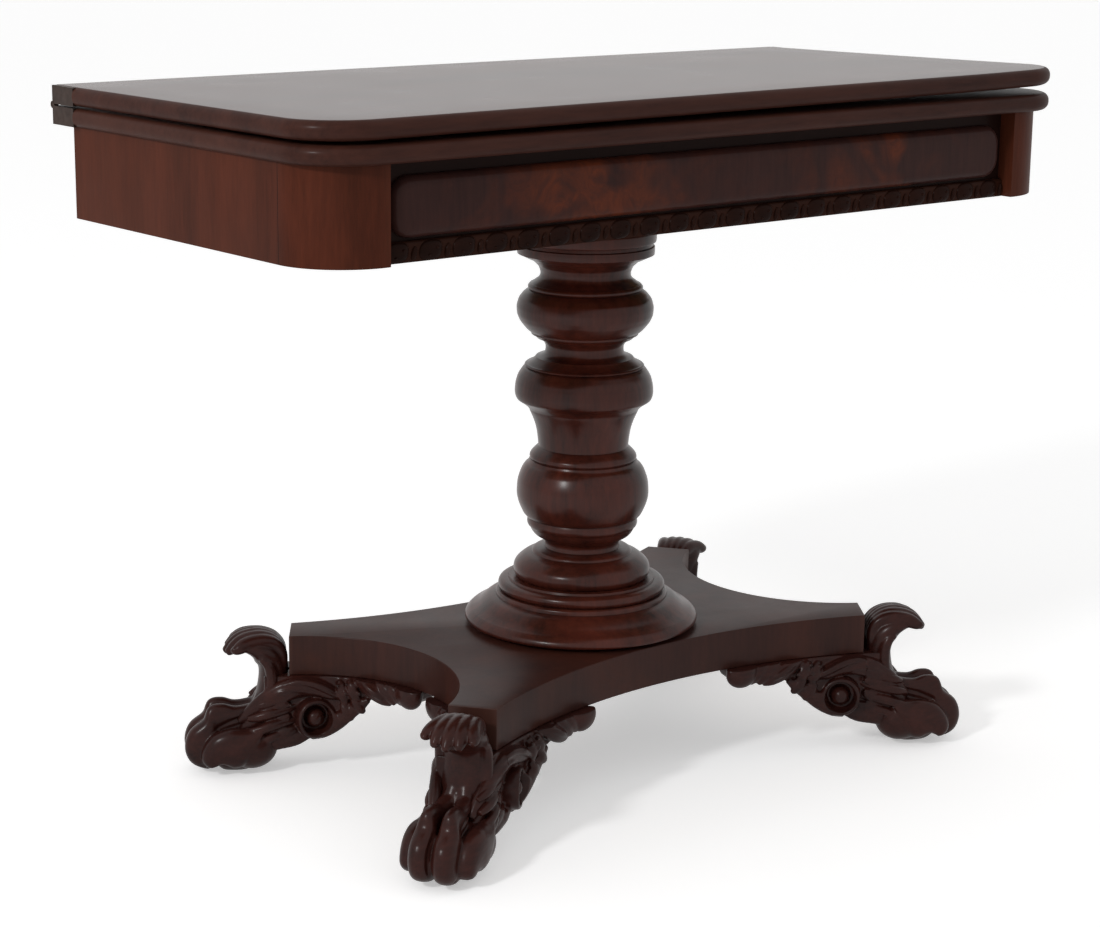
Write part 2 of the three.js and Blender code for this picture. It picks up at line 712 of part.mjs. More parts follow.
// Gadrooned moulding: slanting lobes along the foot of the front board
const GADROON_STATIONS = 4;
const gadroonHeightShares = [0, 0.45, 1];
const gadroonBulgeShares = [0.35, 1, 0.2];
const gadroonBaseShare = 0.45;
const gadroonFullnessShare = 0.6;

function makeGadroon() {
  const half = recessHalfWidth - CLEARANCE;
  const lobes = Math.max(2, Math.round((2 * half) / GADROON_PITCH));
  const pitch = (2 * half) / lobes;
  const back = frontBoardFace - CLEARANCE;
  const stations = lobes * GADROON_STATIONS;
  const rings = [];
  for (let s = 0; s <= stations; s += 1) {
    const x = -half + (pitch * s) / GADROON_STATIONS;
    const ring = [];
    for (let k = 0; k < gadroonHeightShares.length; k += 1) {
      const share = gadroonHeightShares[k];
      const phase = (x + half) / pitch + share / 2;
      const lobe = Math.abs(Math.sin(Math.PI * phase)) ** gadroonFullnessShare;
      const bulge = gadroonBulgeShares[k];
      const swell = THREE.MathUtils.lerp(gadroonBaseShare, 1, bulge);
      const out = GADROON_DEPTH * swell + GADROON_LOBE_RISE * lobe * bulge;
      ring.push(new THREE.Vector3(x, back - out, apronBottom + GADROON_HEIGHT * share));
    }
    ring.push(new THREE.Vector3(x, back, apronBottom + GADROON_HEIGHT));
    ring.push(new THREE.Vector3(x, back, apronBottom));
    rings.push(ring);
  }
  addPiece("gadroon_moulding", lofted(rings), CARVED);
}

// Turned profiles: each entry is a corner, or a bend with its control point first,
// as shares of the greatest radius and of the height
const shaftShares = [
  [0.955, 1],
  [0.981, 0.987],
  [0.981, 0.973],
  [0.68, 0.95, 0.642, 0.911],
  [0.65, 0.888, 0.8, 0.877],
  [0.835, 0.859],
  [0.99, 0.846, 0.982, 0.808],
  [0.982, 0.777, 0.861, 0.754],
  [0.686, 0.721],
  [0.56, 0.71, 0.56, 0.688],
  [0.563, 0.675, 0.66, 0.67],
  [0.833, 0.645],
  [0.993, 0.62, 0.999, 0.56],
  [0.993, 0.543, 0.833, 0.526],
  [0.701, 0.475, 0.647, 0.398],
  [0.775, 0.385, 0.772, 0.366],
  [0.79, 0.354],
  [0.94, 0.342, 0.961, 0.269],
  [0.961, 0.22, 0.813, 0.187],
  [0.806, 0.155],
  [0.743, 0.145],
  [0.6, 0.13, 0.539, 0.103],
  [0.55, 0.088, 0.722, 0.086],
  [0.813, 0.081, 0.826, 0.06],
  [0.993, 0.053, 0.994, 0.028],
  [0.994, 0.001, 0.944, 0],
];

const flareShares = [
  [0.626, 1],
  [0.69, 0.95, 0.703, 0.85],
  [0.715, 0.82],
  [0.715, 0.73],
  [0.75, 0.69],
  [0.797, 0.65],
  [0.93, 0.42, 0.984, 0.23],
  [1.008, 0.16, 0.988, 0.11],
  [0.9, 0.11],
  [0.9, 0],
];

const capitalShares = [
  [0.95, 1],
  [1.0, 1.0, 1, 0.7],
  [1, 0.3],
  [1, 0.02, 0.94, 0],
];

function followShares(path, shares, radius, bottom, height) {
  for (const entry of shares) {
    const x = radius * entry[entry.length - 2];
    const z = bottom + height * entry[entry.length - 1];
    if (entry.length === 4) {
      path.quadraticCurveTo(radius * entry[0], bottom + height * entry[1], x, z);
    } else {
      path.lineTo(x, z);
    }
  }
}

function makeColumn() {
  const tenonTop = cleatTop - CLEARANCE;
  const tenonBottom = plinthBottom + CLEARANCE;
  const pilotRadius = clearOf(LAG_SCREW_RADIUS);
  const pilotTop = plinthBottom + LAG_SCREW_LENGTH + CLEARANCE;
  const shaft = new THREE.Path();
  shaft.moveTo(0, tenonTop);
  shaft.lineTo(TENON_RADIUS, tenonTop);
  shaft.lineTo(TENON_RADIUS, shaftTop);
  followShares(shaft, shaftShares, SHAFT_RADIUS, shaftBottom, shaftHeight);
  shaft.lineTo(TENON_RADIUS, shaftBottom);
  shaft.lineTo(TENON_RADIUS, tenonBottom);
  shaft.lineTo(pilotRadius, tenonBottom);
  shaft.lineTo(pilotRadius, pilotTop);
  shaft.lineTo(0, pilotTop);
  addPiece("column_shaft", turned(shaft), MAHOGANY);

  const hole = TENON_RADIUS + CLEARANCE;
  const capital = new THREE.Path();
  capital.moveTo(hole, capitalTop);
  followShares(capital, capitalShares, CAPITAL_RADIUS, capitalBottom, CAPITAL_THICK);
  capital.lineTo(hole, capitalBottom);
  capital.lineTo(hole, capitalTop);
  addPiece("column_capital", turned(capital), MAHOGANY);

  const flare = new THREE.Path();
  flare.moveTo(hole, flareTop);
  followShares(flare, flareShares, FLARE_RADIUS, flareBottom, FLARE_HEIGHT);
  flare.lineTo(hole, flareBottom);
  flare.lineTo(hole, flareTop);
  addPiece("column_flare", turned(flare), MAHOGANY);
}

// Cleat that joins the column to the frame, with its screws
function makeCleat() {
  const x = CLEAT_LENGTH / 2;
  const y = CLEAT_WIDTH / 2;
  const shape = new THREE.Shape();
  shape.moveTo(-x, -y);
  shape.lineTo(x, -y);
  shape.lineTo(x, y);
  shape.lineTo(-x, y);
  shape.holes.push(roundHole(0, 0, clearOf(TENON_RADIUS, TURNING_SIDES), TURNING_SIDES));
  for (const [sx, sy] of screwPlaces) {
    shape.holes.push(roundHole(sx * screwX, sy * screwY, clearOf(CLEAT_SCREW_RADIUS)));
  }
  addPiece("mounting_cleat", raised(shape, cleatBottom, cleatTop), SECONDARY);
  const headTop = cleatBottom - CLEARANCE;
  const shankTop = floorBoardBottom + CLEAT_SCREW_BITE;
  screwPlaces.forEach(([sx, sy], i) => {
    const screw = joinAll([
      rod(sx * screwX, sy * screwY, headTop - CLEAT_SCREW_HEAD_THICK / 2, shankTop, CLEAT_SCREW_RADIUS),
      rod(sx * screwX, sy * screwY, headTop - CLEAT_SCREW_HEAD_THICK, headTop, CLEAT_SCREW_HEAD_RADIUS),
    ]);
    addPiece(`cleat_screw_${i + 1}`, screw, IRON);
  });
}

// Plinth with four arms and four hollow sides
function circleThrough(depth, cornerAcross, cornerAlong) {
  const sagitta = cornerAlong - depth;
  const radius = (cornerAcross ** 2 + sagitta ** 2) / (2 * sagitta);
  return { radius, centre: depth + radius };
}

const frontArc = circleThrough(PLINTH_FRONT_HALF_DEPTH, ARM_LONG_CORNER_X, ARM_LONG_CORNER_Y);
const sideArc = circleThrough(PLINTH_SIDE_HALF_WIDTH, ARM_SHORT_CORNER_Y, ARM_SHORT_CORNER_X);
const frontArcHalfAngle = Math.asin(ARM_LONG_CORNER_X / frontArc.radius);
const sideArcHalfAngle = Math.asin(ARM_SHORT_CORNER_Y / sideArc.radius);

function plinthShape() {
  const shape = new THREE.Shape();
  const f = frontArc;
  const s = sideArc;
  const up = Math.PI / 2;
  shape.moveTo(-ARM_LONG_CORNER_X, -ARM_LONG_CORNER_Y);
  shape.absarc(0, -f.centre, f.radius, up + frontArcHalfAngle, up - frontArcHalfAngle, true);
  shape.lineTo(ARM_SHORT_CORNER_X, -ARM_SHORT_CORNER_Y);
  shape.absarc(s.centre, 0, s.radius, Math.PI + sideArcHalfAngle, Math.PI - sideArcHalfAngle, true);
  shape.lineTo(ARM_LONG_CORNER_X, ARM_LONG_CORNER_Y);
  shape.absarc(0, f.centre, f.radius, frontArcHalfAngle - up, -up - frontArcHalfAngle, true);
  shape.lineTo(-ARM_SHORT_CORNER_X, ARM_SHORT_CORNER_Y);
  shape.absarc(-s.centre, 0, s.radius, sideArcHalfAngle, -sideArcHalfAngle, true);
  shape.lineTo(-ARM_LONG_CORNER_X, -ARM_LONG_CORNER_Y);
  shape.holes.push(roundHole(0, 0, clearOf(TENON_RADIUS, TURNING_SIDES), TURNING_SIDES));
  return shape;
}

const dowelReach = (armEndReach + LEG_INNER_REACH) / 2;
const dowelX = dowelReach * Math.cos(armAngle);
const dowelY = dowelReach * Math.sin(armAngle);
const corners = [
  ["front_left", -1, -1],
  ["front_right", 1, -1],
  ["back_left", -1, 1],
  ["back_right", 1, 1],
];

function makePlinth() {
  const holeTop = plinthBottom + DOWEL_LENGTH / 2 + CLEARANCE;
  const cuts = corners.map(([, sx, sy]) => {
    return rod(sx * dowelX, sy * dowelY, plinthBottom - OVERRUN, holeTop, clearOf(DOWEL_RADIUS));
  });
  const board = raised(plinthShape(), plinthBottom, plinthTop, PLINTH_ARC_STEPS);
  addPiece("plinth", cutAway(board, cuts), FIGURED);
  const washerTop = plinthBottom - CLEARANCE;
  const washerBottom = washerTop - LAG_WASHER_THICK;
  const washer = cutAway(rod(0, 0, washerBottom, washerTop, LAG_WASHER_RADIUS), [
    rod(0, 0, washerBottom - OVERRUN, washerTop + OVERRUN, clearOf(LAG_SCREW_RADIUS)),
  ]);
  addPiece("column_washer", washer, IRON);
  const headTop = washerBottom - CLEARANCE;
  const screw = joinAll([
    rod(0, 0, headTop - LAG_HEAD_THICK / 2, plinthBottom + LAG_SCREW_LENGTH, LAG_SCREW_RADIUS),
    rod(0, 0, headTop - LAG_HEAD_THICK, headTop, LAG_HEAD_RADIUS, HEXAGON_SIDES),
  ]);
  addPiece("column_lag_screw", screw, IRON);
}

// Paw foot, built for the arm that points along +X +Y before it is mirrored
function pawReach(share) {
  return armEndReach + PAW_LENGTH * share;
}

function onArm(reach, across, z) {
  const c = Math.cos(armAngle);
  const s = Math.sin(armAngle);
  return new THREE.Vector3(reach * c - across * s, reach * s + across * c, z);
}

// Ring about a path in the arm's plane: reach, height, half thickness, half width, path angle
const limbFullnessShare = 0.8;

function limbRing([reach, z, halfThick, halfWidth, angle, fluteRise = 0], across, sides, share = 0) {
  const ring = [];
  for (let i = 0; i < sides; i += 1) {
    const turn = (Math.PI * 2 * i) / sides;
    const side = Math.cos(turn);
    const front = Math.sin(turn);
    const squareSide = Math.sign(side) * Math.abs(side) ** limbFullnessShare;
    const squareFront = Math.sign(front) * Math.abs(front) ** limbFullnessShare;
    const ripple = i % 2 === 1 ? 1 + share * fluteRise : 1 - share * fluteRise;
    const lift = halfThick * squareFront * (front > 0 ? ripple : 1);
    const r = reach - lift * Math.sin(angle);
    const h = z + lift * Math.cos(angle);
    ring.push(onArm(r, across + halfWidth * squareSide, h));
  }
  return ring;
}

function limb(stations, across, sides, share = 0) {
  return lofted(stations.map((station) => limbRing(station, across, sides, share)));
}

// Toe path as shares of the paw's length, height and half width
// Each row: place along the paw, height, half thickness, half width, spread
const toePathShares = [
  [0.327, 0.42, 0.15, 0.24, 0.55],
  [0.532, 0.66, 0.18, 0.29, 0.78],
  [0.72, 0.74, 0.2, 0.29, 0.96],
  [0.85, 0.5, 0.2, 0.29, 1],
  [0.888, 0.16, 0.15, 0.26, 1],
];
const TOE_SIDES = 6;
const PALM_SIDES = 10;
const SCROLL_SIDES = 20;
const fluteShare = 0.1;
const toeAcrossShares = [-0.74, -0.26, 0.26, 0.74];
const toeSetbackShares = [0.168, 0, 0, 0.168];
const toeHeightShares = [0.88, 1, 1, 0.88];
const toeAngleShares = [0.25, 0.15, -0.2, -0.4, -0.45];

function makeToe(acrossShare, setbackShare, lowShare) {
  const rows = toePathShares;
  const rings = rows.map(([reachShare, heightShare, thickShare, widthShare, spreadShare], i) => {
    const angle = Math.PI * toeAngleShares[i];
    const reach = pawReach(reachShare - setbackShare);
    const across = PAW_HALF_WIDTH * acrossShare * spreadShare;
    const station = [
      reach,
      PAW_HEIGHT * heightShare * lowShare,
      PAW_HEIGHT * thickShare,
      PAW_HALF_WIDTH * widthShare,
      angle,
    ];
    return limbRing(station, across, TOE_SIDES);
  });
  return lofted(rings);
}

const palmShares = [
  [0.046, 0.42, 0.3, 0.5, 1.2],
  [0.252, 0.42, 0.47, 0.74, 0.2],
  [0.551, 0.42, 0.47, 0.86, 0],
  [0.738, 0.34, 0.31, 0.8, -0.4],
];
const neckShares = [
  [0.252, 0.36, 0.21, 1.15, 1.75],
  [0.181, 0.56, 0.112, 1.02, 1.65],
  [0.1585, 0.7, 0.1, 1, 1.57],
];
const scrollShares = [
  [0.174, 0.79, 0.115, 0.86, 1.3, 0.4],
  [0.252, 0.87, 0.118, 0.95, 0.75, 0.8],
  [0.379, 0.885, 0.1, 1, 0.1, 1],
  [0.499, 0.855, 0.066, 0.9, -0.4, 1],
  [0.585, 0.817, 0.018, 0.6, -0.8, 1],
];

// Underside of the leg between the wings, as shares of the way out to the arm's end and
// of the wings' top, and its outer end as a share of the paw's length
const legInnerDropShare = 0.82;
const legUndersideShares = [
  [0.341, 0.7],
  [0.779, 0.42],
];
const legOuterDropShare = 0.3;
const legOuterShare = 0.215;

function legBlock(extra) {
  const shape = new THREE.Shape();
  const top = wingTop + (extra > 0 ? OVERRUN : 0);
  shape.moveTo(LEG_INNER_REACH - extra, top);
  shape.lineTo(LEG_INNER_REACH - extra, wingTop * legInnerDropShare);
  for (const [reachShare, heightShare] of legUndersideShares) {
    const reach = THREE.MathUtils.lerp(LEG_INNER_REACH, armEndReach, reachShare);
    shape.lineTo(reach, wingTop * heightShare);
  }
  shape.lineTo(pawReach(legOuterShare), wingTop * legOuterDropShare);
  shape.lineTo(pawReach(legOuterShare), top);
  const geometry = new THREE.ExtrudeGeometry(shape, {
    depth: 2 * (LEG_HALF_WIDTH + extra),
    bevelEnabled: false,
    steps: 1,
  });
  geometry.translate(0, 0, -LEG_HALF_WIDTH - extra);
  geometry.rotateX(Math.PI / 2);
  geometry.rotateZ(armAngle);
  return solidFacingOut(mergeVertices(geometry));
}

function armEndCutter() {
  const inner = LEG_INNER_REACH - OVERRUN;
  const outer = armEndReach + 2 * CLEARANCE;
  const across = PAW_HALF_WIDTH + OVERRUN;
  const top = SCROLL_TOP_HEIGHT + OVERRUN;
  const box = block(inner, outer, -across, across, -OVERRUN, top);
  box.rotateZ(armAngle);
  return box;
}

// Everything below the floor, which leaves each paw a flat pad
function floorCutter() {
  const far = pawReach(1) + PAW_HALF_WIDTH;
  return block(0, far, 0, far, -PAW_HEIGHT, 0);
}

function pawFoot() {
  const palm = limb(
    palmShares.map(([r, z, t, w, a]) => {
      return [pawReach(r), PAW_HEIGHT * z, PAW_HEIGHT * t, PAW_HALF_WIDTH * w, a];
    }),
    0,
    PALM_SIDES,
  );
  const toes = toeAcrossShares.map((share, i) => makeToe(share, toeSetbackShares[i], toeHeightShares[i]));
  const neckStations = neckShares.map(([r, z, t, w, a]) => {
    return [pawReach(r), SCROLL_TOP_HEIGHT * z, SCROLL_TOP_HEIGHT * t, NECK_HALF_WIDTH * w, a];
  });
  const scrollStations = scrollShares.map(([r, z, t, w, a, rise]) => {
    return [pawReach(r), SCROLL_TOP_HEIGHT * z, SCROLL_TOP_HEIGHT * t, SCROLL_HALF_WIDTH * w, a, rise];
  });
  const scroll = limb([...neckStations, ...scrollStations], 0, SCROLL_SIDES, fluteShare);
  const claw = cutAway(joinAll([palm, ...toes, scroll]), [armEndCutter(), floorCutter()]);
  const holeBottom = wingTop - DOWEL_LENGTH / 2 - CLEARANCE;
  return cutAway(joinAll([claw, legBlock(0)]), [
    rod(dowelX, dowelY, holeBottom, wingTop + OVERRUN, clearOf(DOWEL_RADIUS)),
  ]);
}

// Wing brackets that follow the plinth's hollow sides inwards from each foot
const wingBottomShares = [
  [-0.07, 0.79],
  [0.1, 0.67],
  [0.25, 0.51],
  [0.4, 0.34],
  [0.6, 0.23],
  [0.74, 0.21],
  [0.85, 0.24],
  [0.94, 0.2],
  [0.985, 0.12],
  [1, 0.05],
];
const WING_STATIONS = 12;
const WING_LOBES = 5;
const BOSS_SIDES = 8;
const wingLeanShare = 0.8;
const wingLobeFullnessShare = 0.7;
const wingBackDropShare = 0.92;

// Section of a wing from its top down: drop, round of the face and rise of the lobes
const wingSectionShares = [
  [0, 0.454, 0.4],
  [0.3, 0.924, 0.58],
  [0.7, 0.853, 0.82],
  [1, 0.309, 1],
];

function wingDropShare(along) {
  const rows = wingBottomShares;
  for (let i = 0; i + 1 < rows.length; i += 1) {
    if (along <= rows[i + 1][0]) {
      const t = (along - rows[i][0]) / (rows[i + 1][0] - rows[i][0]);
      return THREE.MathUtils.lerp(rows[i][1], rows[i + 1][1], t);
    }
  }
  return rows[rows.length - 1][1];
}

// Point and outward direction on a hollow side, at a distance inwards from the arm's end
function frontEdge(distance) {
  const angle = frontArcHalfAngle - distance / frontArc.radius;
  const out = new THREE.Vector2(-Math.sin(angle), Math.cos(angle));
  const point = new THREE.Vector2(
    frontArc.radius * Math.sin(angle),
    frontArc.centre - frontArc.radius * Math.cos(angle),
  );
  return { point, out };
}

function sideEdge(distance) {
  const angle = sideArcHalfAngle - distance / sideArc.radius;
  const out = new THREE.Vector2(Math.cos(angle), -Math.sin(angle));
  const point = new THREE.Vector2(
    sideArc.centre - sideArc.radius * Math.cos(angle),
    sideArc.radius * Math.sin(angle),
  );
  return { point, out };
}

function wing(edge, length) {
  const rings = [];
  const start = -WING_FOOT_OVERLAP / length;
  for (let s = 0; s <= WING_STATIONS; s += 1) {
    const along = THREE.MathUtils.lerp(start, 1, s / WING_STATIONS);
    const { point, out } = edge(along * length);
    const drop = wingTop * wingDropShare(along);
    const inner = point.clone().addScaledVector(out, WING_PROUD - WING_THICK);
    const ring = [];
    for (const [dropShare, roundShare, lobeShare] of wingSectionShares) {
      const phase = WING_LOBES * along + dropShare * wingLeanShare;
      const lobe = WING_LOBE_RISE * Math.abs(Math.sin(Math.PI * phase)) ** wingLobeFullnessShare;
      const proud = WING_PROUD * roundShare + lobe * lobeShare - WING_LOBE_RISE / 2;
      const face = point.clone().addScaledVector(out, proud);
      ring.push(new THREE.Vector3(face.x, face.y, wingTop - drop * dropShare));
    }
    ring.push(new THREE.Vector3(inner.x, inner.y, wingTop - drop * wingBackDropShare));
    ring.push(new THREE.Vector3(inner.x, inner.y, wingTop));
    rings.push(ring);
  }
  return lofted(rings);
}

// Dished ring of the boss, as shares of its radius and thickness
const bossRingShares = [
  [1, 1, 0.85, 1],
  [0.62, 0.8, 0.5, 0],
];

function boss(edge) {
  const { point, out } = edge(BOSS_OFFSET);
  const ring = new THREE.Path();
  ring.moveTo(0, -BOSS_RING_THICK);
  ring.lineTo(BOSS_RADIUS, -BOSS_RING_THICK);
  followShares(ring, bossRingShares, BOSS_RADIUS, 0, BOSS_RING_THICK);
  ring.lineTo(0, 0);
  const disc = turned(ring, BOSS_SIDES, 1);
  const ball = new THREE.SphereGeometry(BOSS_BALL_RADIUS, BOSS_SIDES, BOSS_SIDES / 2);
  const whole = joinAll([disc, mergeVertices(ball)]);
  const facing = new THREE.Matrix4().makeBasis(
    new THREE.Vector3(-out.y, out.x, 0),
    new THREE.Vector3(0, 0, 1),
    new THREE.Vector3(out.x, out.y, 0),
  );
  whole.applyMatrix4(facing);
  whole.translate(point.x + out.x * WING_PROUD, point.y + out.y * WING_PROUD, BOSS_HEIGHT);
  return solidFacingOut(whole);
}

function footCutter() {
  const inner = armEndReach + CLEARANCE;
  const outer = pawReach(1);
  const across = PAW_HALF_WIDTH * 2;
  const box = block(inner, outer, -across, across, -OVERRUN, SCROLL_TOP_HEIGHT);
  box.rotateZ(armAngle);
  return box;
}

function makeFeet() {
  const foot = pawFoot();
  const cutters = [legBlock(CLEARANCE), footCutter()];
  const frontWing = cutAway(joinAll([wing(frontEdge, LONG_WING_LENGTH), boss(frontEdge)]), cutters);
  const sideWing = cutAway(joinAll([wing(sideEdge, SHORT_WING_LENGTH), boss(sideEdge)]), cutters);
  const dowel = rod(
    dowelX,
    dowelY,
    wingTop - DOWEL_LENGTH / 2,
    plinthBottom + DOWEL_LENGTH / 2,
    DOWEL_RADIUS,
  );
  for (const [word, sx, sy] of corners) {
    addPiece(`paw_foot_${word}`, mirrored(foot, sx, sy), CARVED);
    addPiece(`wing_long_${word}`, mirrored(frontWing, sx, sy), CARVED);
    addPiece(`wing_short_${word}`, mirrored(sideWing, sx, sy), CARVED);
    addPiece(`foot_dowel_${word}`, mirrored(dowel, sx, sy), SECONDARY);
  }
}

makeLeaves();
makeHinges();
makeSwivel();
makeFrame();
makeFrameInside();
makeTablet();
makeGadroon();
makeCleat();
makeColumn();
makePlinth();
makeFeet();

export default table;
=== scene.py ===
import json
import math

import bmesh
import bpy
import numpy as np
from mathutils import Matrix, Vector


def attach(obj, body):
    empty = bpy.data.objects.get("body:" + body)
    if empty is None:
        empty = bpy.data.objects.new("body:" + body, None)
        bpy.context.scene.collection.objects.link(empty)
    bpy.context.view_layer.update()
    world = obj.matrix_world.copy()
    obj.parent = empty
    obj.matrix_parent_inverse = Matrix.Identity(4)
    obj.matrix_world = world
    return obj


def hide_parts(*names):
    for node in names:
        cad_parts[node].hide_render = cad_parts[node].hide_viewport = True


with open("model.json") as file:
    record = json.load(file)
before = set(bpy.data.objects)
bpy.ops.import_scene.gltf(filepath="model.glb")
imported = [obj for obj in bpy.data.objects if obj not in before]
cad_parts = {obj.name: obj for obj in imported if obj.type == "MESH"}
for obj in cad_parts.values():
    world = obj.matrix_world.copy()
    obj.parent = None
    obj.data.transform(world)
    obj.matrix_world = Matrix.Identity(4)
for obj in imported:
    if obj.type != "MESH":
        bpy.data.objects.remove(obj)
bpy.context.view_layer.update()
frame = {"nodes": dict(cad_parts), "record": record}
nodes = frame["nodes"]
scene = bpy.context.scene
MM = 0.001

# Sizes of the real table in millimetres
LEAF_HALF_WIDTH = 482.5
LEAF_HALF_DEPTH = 227.0
LEAF_THICK = 18.0
LEAF_CORNER = 62.0
LEAF_NOSE = 8.0
LOWER_LEAF_BOTTOM = 679.8
UPPER_LEAF_BOTTOM = 699.6
HINGE_INNER = 476.0
HINGE_LENGTH = 40.3
FRAME_TOP = 679.5
FRAME_BOTTOM = 591.0
FRAME_HALF_WIDTH = 474.0
FRAME_FRONT = -216.5
FRAME_BACK = 200.0
RECESS_HALF_WIDTH = 402.5
BOARD_FACE = -198.0
APRON_THICK = 22.0
APRON_CORNER = 66.0
PLINTH_TOP = 148.8
PLINTH_BOTTOM = 106.8
WING_TOP = 106.5
PLINTH_HALF_DEPTH = 120.0
PLINTH_HALF_WIDTH = 203.0
LONG_CORNER = (251.0, 175.0)
SHORT_CORNER = (280.0, 136.0)
ARM_ANGLE = math.atan2(LONG_CORNER[1] + SHORT_CORNER[1], LONG_CORNER[0] + SHORT_CORNER[0])
CORNERS = (
    ("front_left", -1, -1), ("front_right", 1, -1), ("back_left", -1, 1), ("back_right", 1, 1),
)
ARM_AHEAD = Vector((math.cos(ARM_ANGLE), math.sin(ARM_ANGLE)))
TURNING_STEPS = 96
# How deep a gouge stroke starts, as a share of half a wave, and how full the wave is
STROKE_START = 0.12
STROKE_SWELL = 0.7
CARVING_VOXEL = 1.15


# Building blocks for the meshes
def block(bm, low, high):
    size = Vector(high) - Vector(low)
    middle = (Vector(high) + Vector(low)) / 2
    matrix = Matrix.Translation(middle) @ Matrix.Diagonal((*size, 1))
    return bmesh.ops.create_cube(bm, size=1, matrix=matrix)["verts"]


def rounded(bm, edges, radius, segments):
    bmesh.ops.bevel(
        bm, geom=edges, offset=radius, offset_type="OFFSET", segments=segments, profile=0.5,
        affect="EDGES", material=-1, clamp_overlap=True,
    )


def edges_where(bm, test):
    return [e for e in bm.edges if test(e.verts[0].co, e.verts[1].co)]


def upright(a, b):
    return abs(a.x - b.x) < 1e-4 and abs(a.y - b.y) < 1e-4


def level(a, b):
    return abs(a.z - b.z) < 1e-4


def raised(bm, outline, bottom, top):
    corners = [bm.verts.new((x, y, bottom)) for x, y in outline]
    face = bm.faces.new(corners)
    made = bmesh.ops.extrude_face_region(bm, geom=[face])
    lifted = [g for g in made["geom"] if isinstance(g, bmesh.types.BMVert)]
    bmesh.ops.translate(bm, verts=lifted, vec=(0, 0, top - bottom))
    bmesh.ops.recalc_face_normals(bm, faces=bm.faces)


def through(points, steps):
    """A smooth line through the points, with the given steps between each two."""
    rows = np.array(points, float)
    padded = np.vstack([2 * rows[0] - rows[1], rows, 2 * rows[-1] - rows[-2]])
    line = []
    for i in range(1, len(padded) - 2):
        a, b, c, d = padded[i - 1], padded[i], padded[i + 1], padded[i + 2]
        for k in range(steps):
            t = k / steps
            bend = (2 * a - 5 * b + 4 * c - d) * t * t + (3 * b - a - 3 * c + d) * t ** 3
            line.append((2 * b + (c - a) * t + bend) / 2)
    line.append(rows[-1])
    return line


def turned(bm, runs, steps=TURNING_STEPS):
    """Spins a profile, given as smooth runs of radius and height that meet in corners."""
    line = []
    for run in runs:
        for r, z in through(run, 4 if len(run) > 2 else 1):
            if not line or (line[-1] - Vector((r, 0, z))).length > 0.05:
                line.append(Vector((r, 0, z)))
    verts = [bm.verts.new(p) for p in line]
    edges = [bm.edges.new(pair) for pair in zip(verts, verts[1:])]
    bmesh.ops.spin(
        bm, geom=verts + edges, cent=(0, 0, 0), axis=(0, 0, 1), angle=math.tau, steps=steps,
        use_merge=True,
    )
    bmesh.ops.remove_doubles(bm, verts=bm.verts, dist=0.01)
    bmesh.ops.recalc_face_normals(bm, faces=bm.faces)


def limb(bm, stations, sides=28, side=1, steps=4, fullness=0.85):
    """A tapered limb along the arm. Each station: reach, across, height, half thickness,
    half width, lean."""
    rings = []
    for reach, across, height, thick, wide, lean in through(stations, steps):
        ring = bmesh.ops.create_circle(bm, segments=sides, radius=1)["verts"]
        for v in ring:
            turn = math.atan2(v.co.y, v.co.x)
            broad = math.copysign(abs(math.cos(turn)) ** fullness, math.cos(turn))
            lift = math.copysign(abs(math.sin(turn)) ** fullness, math.sin(turn))
            v.co = Vector((
                reach - thick * lift * math.sin(lean),
                side * across + wide * broad,
                height + thick * lift * math.cos(lean),
            ))
        rings.append(ring)
    close_rings(bm, rings)


def close_rings(bm, rings):
    for a, b in zip(rings, rings[1:]):
        edges = [e for v in a for e in v.link_edges if e.other_vert(v) in a]
        edges += [e for v in b for e in v.link_edges if e.other_vert(v) in b]
        bmesh.ops.bridge_loops(bm, edges=list(dict.fromkeys(edges)))
    for ring in (rings[0], rings[-1]):
        bm.faces.new(ring)


def blob(bm, centre, radii):
    """A ball stretched along the three axes."""
    matrix = Matrix.Translation(centre) @ Matrix.Diagonal((*radii, 1))
    bmesh.ops.create_uvsphere(bm, u_segments=28, v_segments=18, radius=1, matrix=matrix)


def strand(bm, points, sides=14, steps=4):
    """A round strand through points. Each point: x, y, z, radius, flatness along y."""
    rows = through(points, steps)
    rings = []
    for i, row in enumerate(rows):
        ahead = rows[min(i + 1, len(rows) - 1)][:3]
        behind = rows[max(i - 1, 0)][:3]
        along = Vector(ahead - behind).normalized()
        flat = Vector((0, 1, 0))
        across = along.cross(flat).normalized()
        out = across.cross(along).normalized()
        ring = bmesh.ops.create_circle(bm, segments=sides, radius=1)["verts"]
        for v in ring:
            x, y = v.co.x, v.co.y
            v.co = Vector(row[:3]) + across * (x * row[3]) + out * (y * row[3] * row[4])
        rings.append(ring)
    close_rings(bm, rings)


def as_object(name, bm):
    """Puts a mesh into the scene and frees it."""
    mesh = bpy.data.meshes.new(name)
    bm.to_mesh(mesh)
    bm.free()
    piece = bpy.data.objects.new(name, mesh)
    scene.collection.objects.link(piece)
    return piece


def modified(*pieces):
    """The first piece with its modifiers done, and every piece taken out of the scene."""
    bpy.context.view_layer.update()
    graph = bpy.context.evaluated_depsgraph_get()
    result = bpy.data.meshes.new_from_object(pieces[0].evaluated_get(graph))
    for piece in pieces:
        mesh = piece.data
        bpy.data.objects.remove(piece)
        bpy.data.meshes.remove(mesh)
    out = bmesh.new()
    out.from_mesh(result)
    bpy.data.meshes.remove(result)
    return out


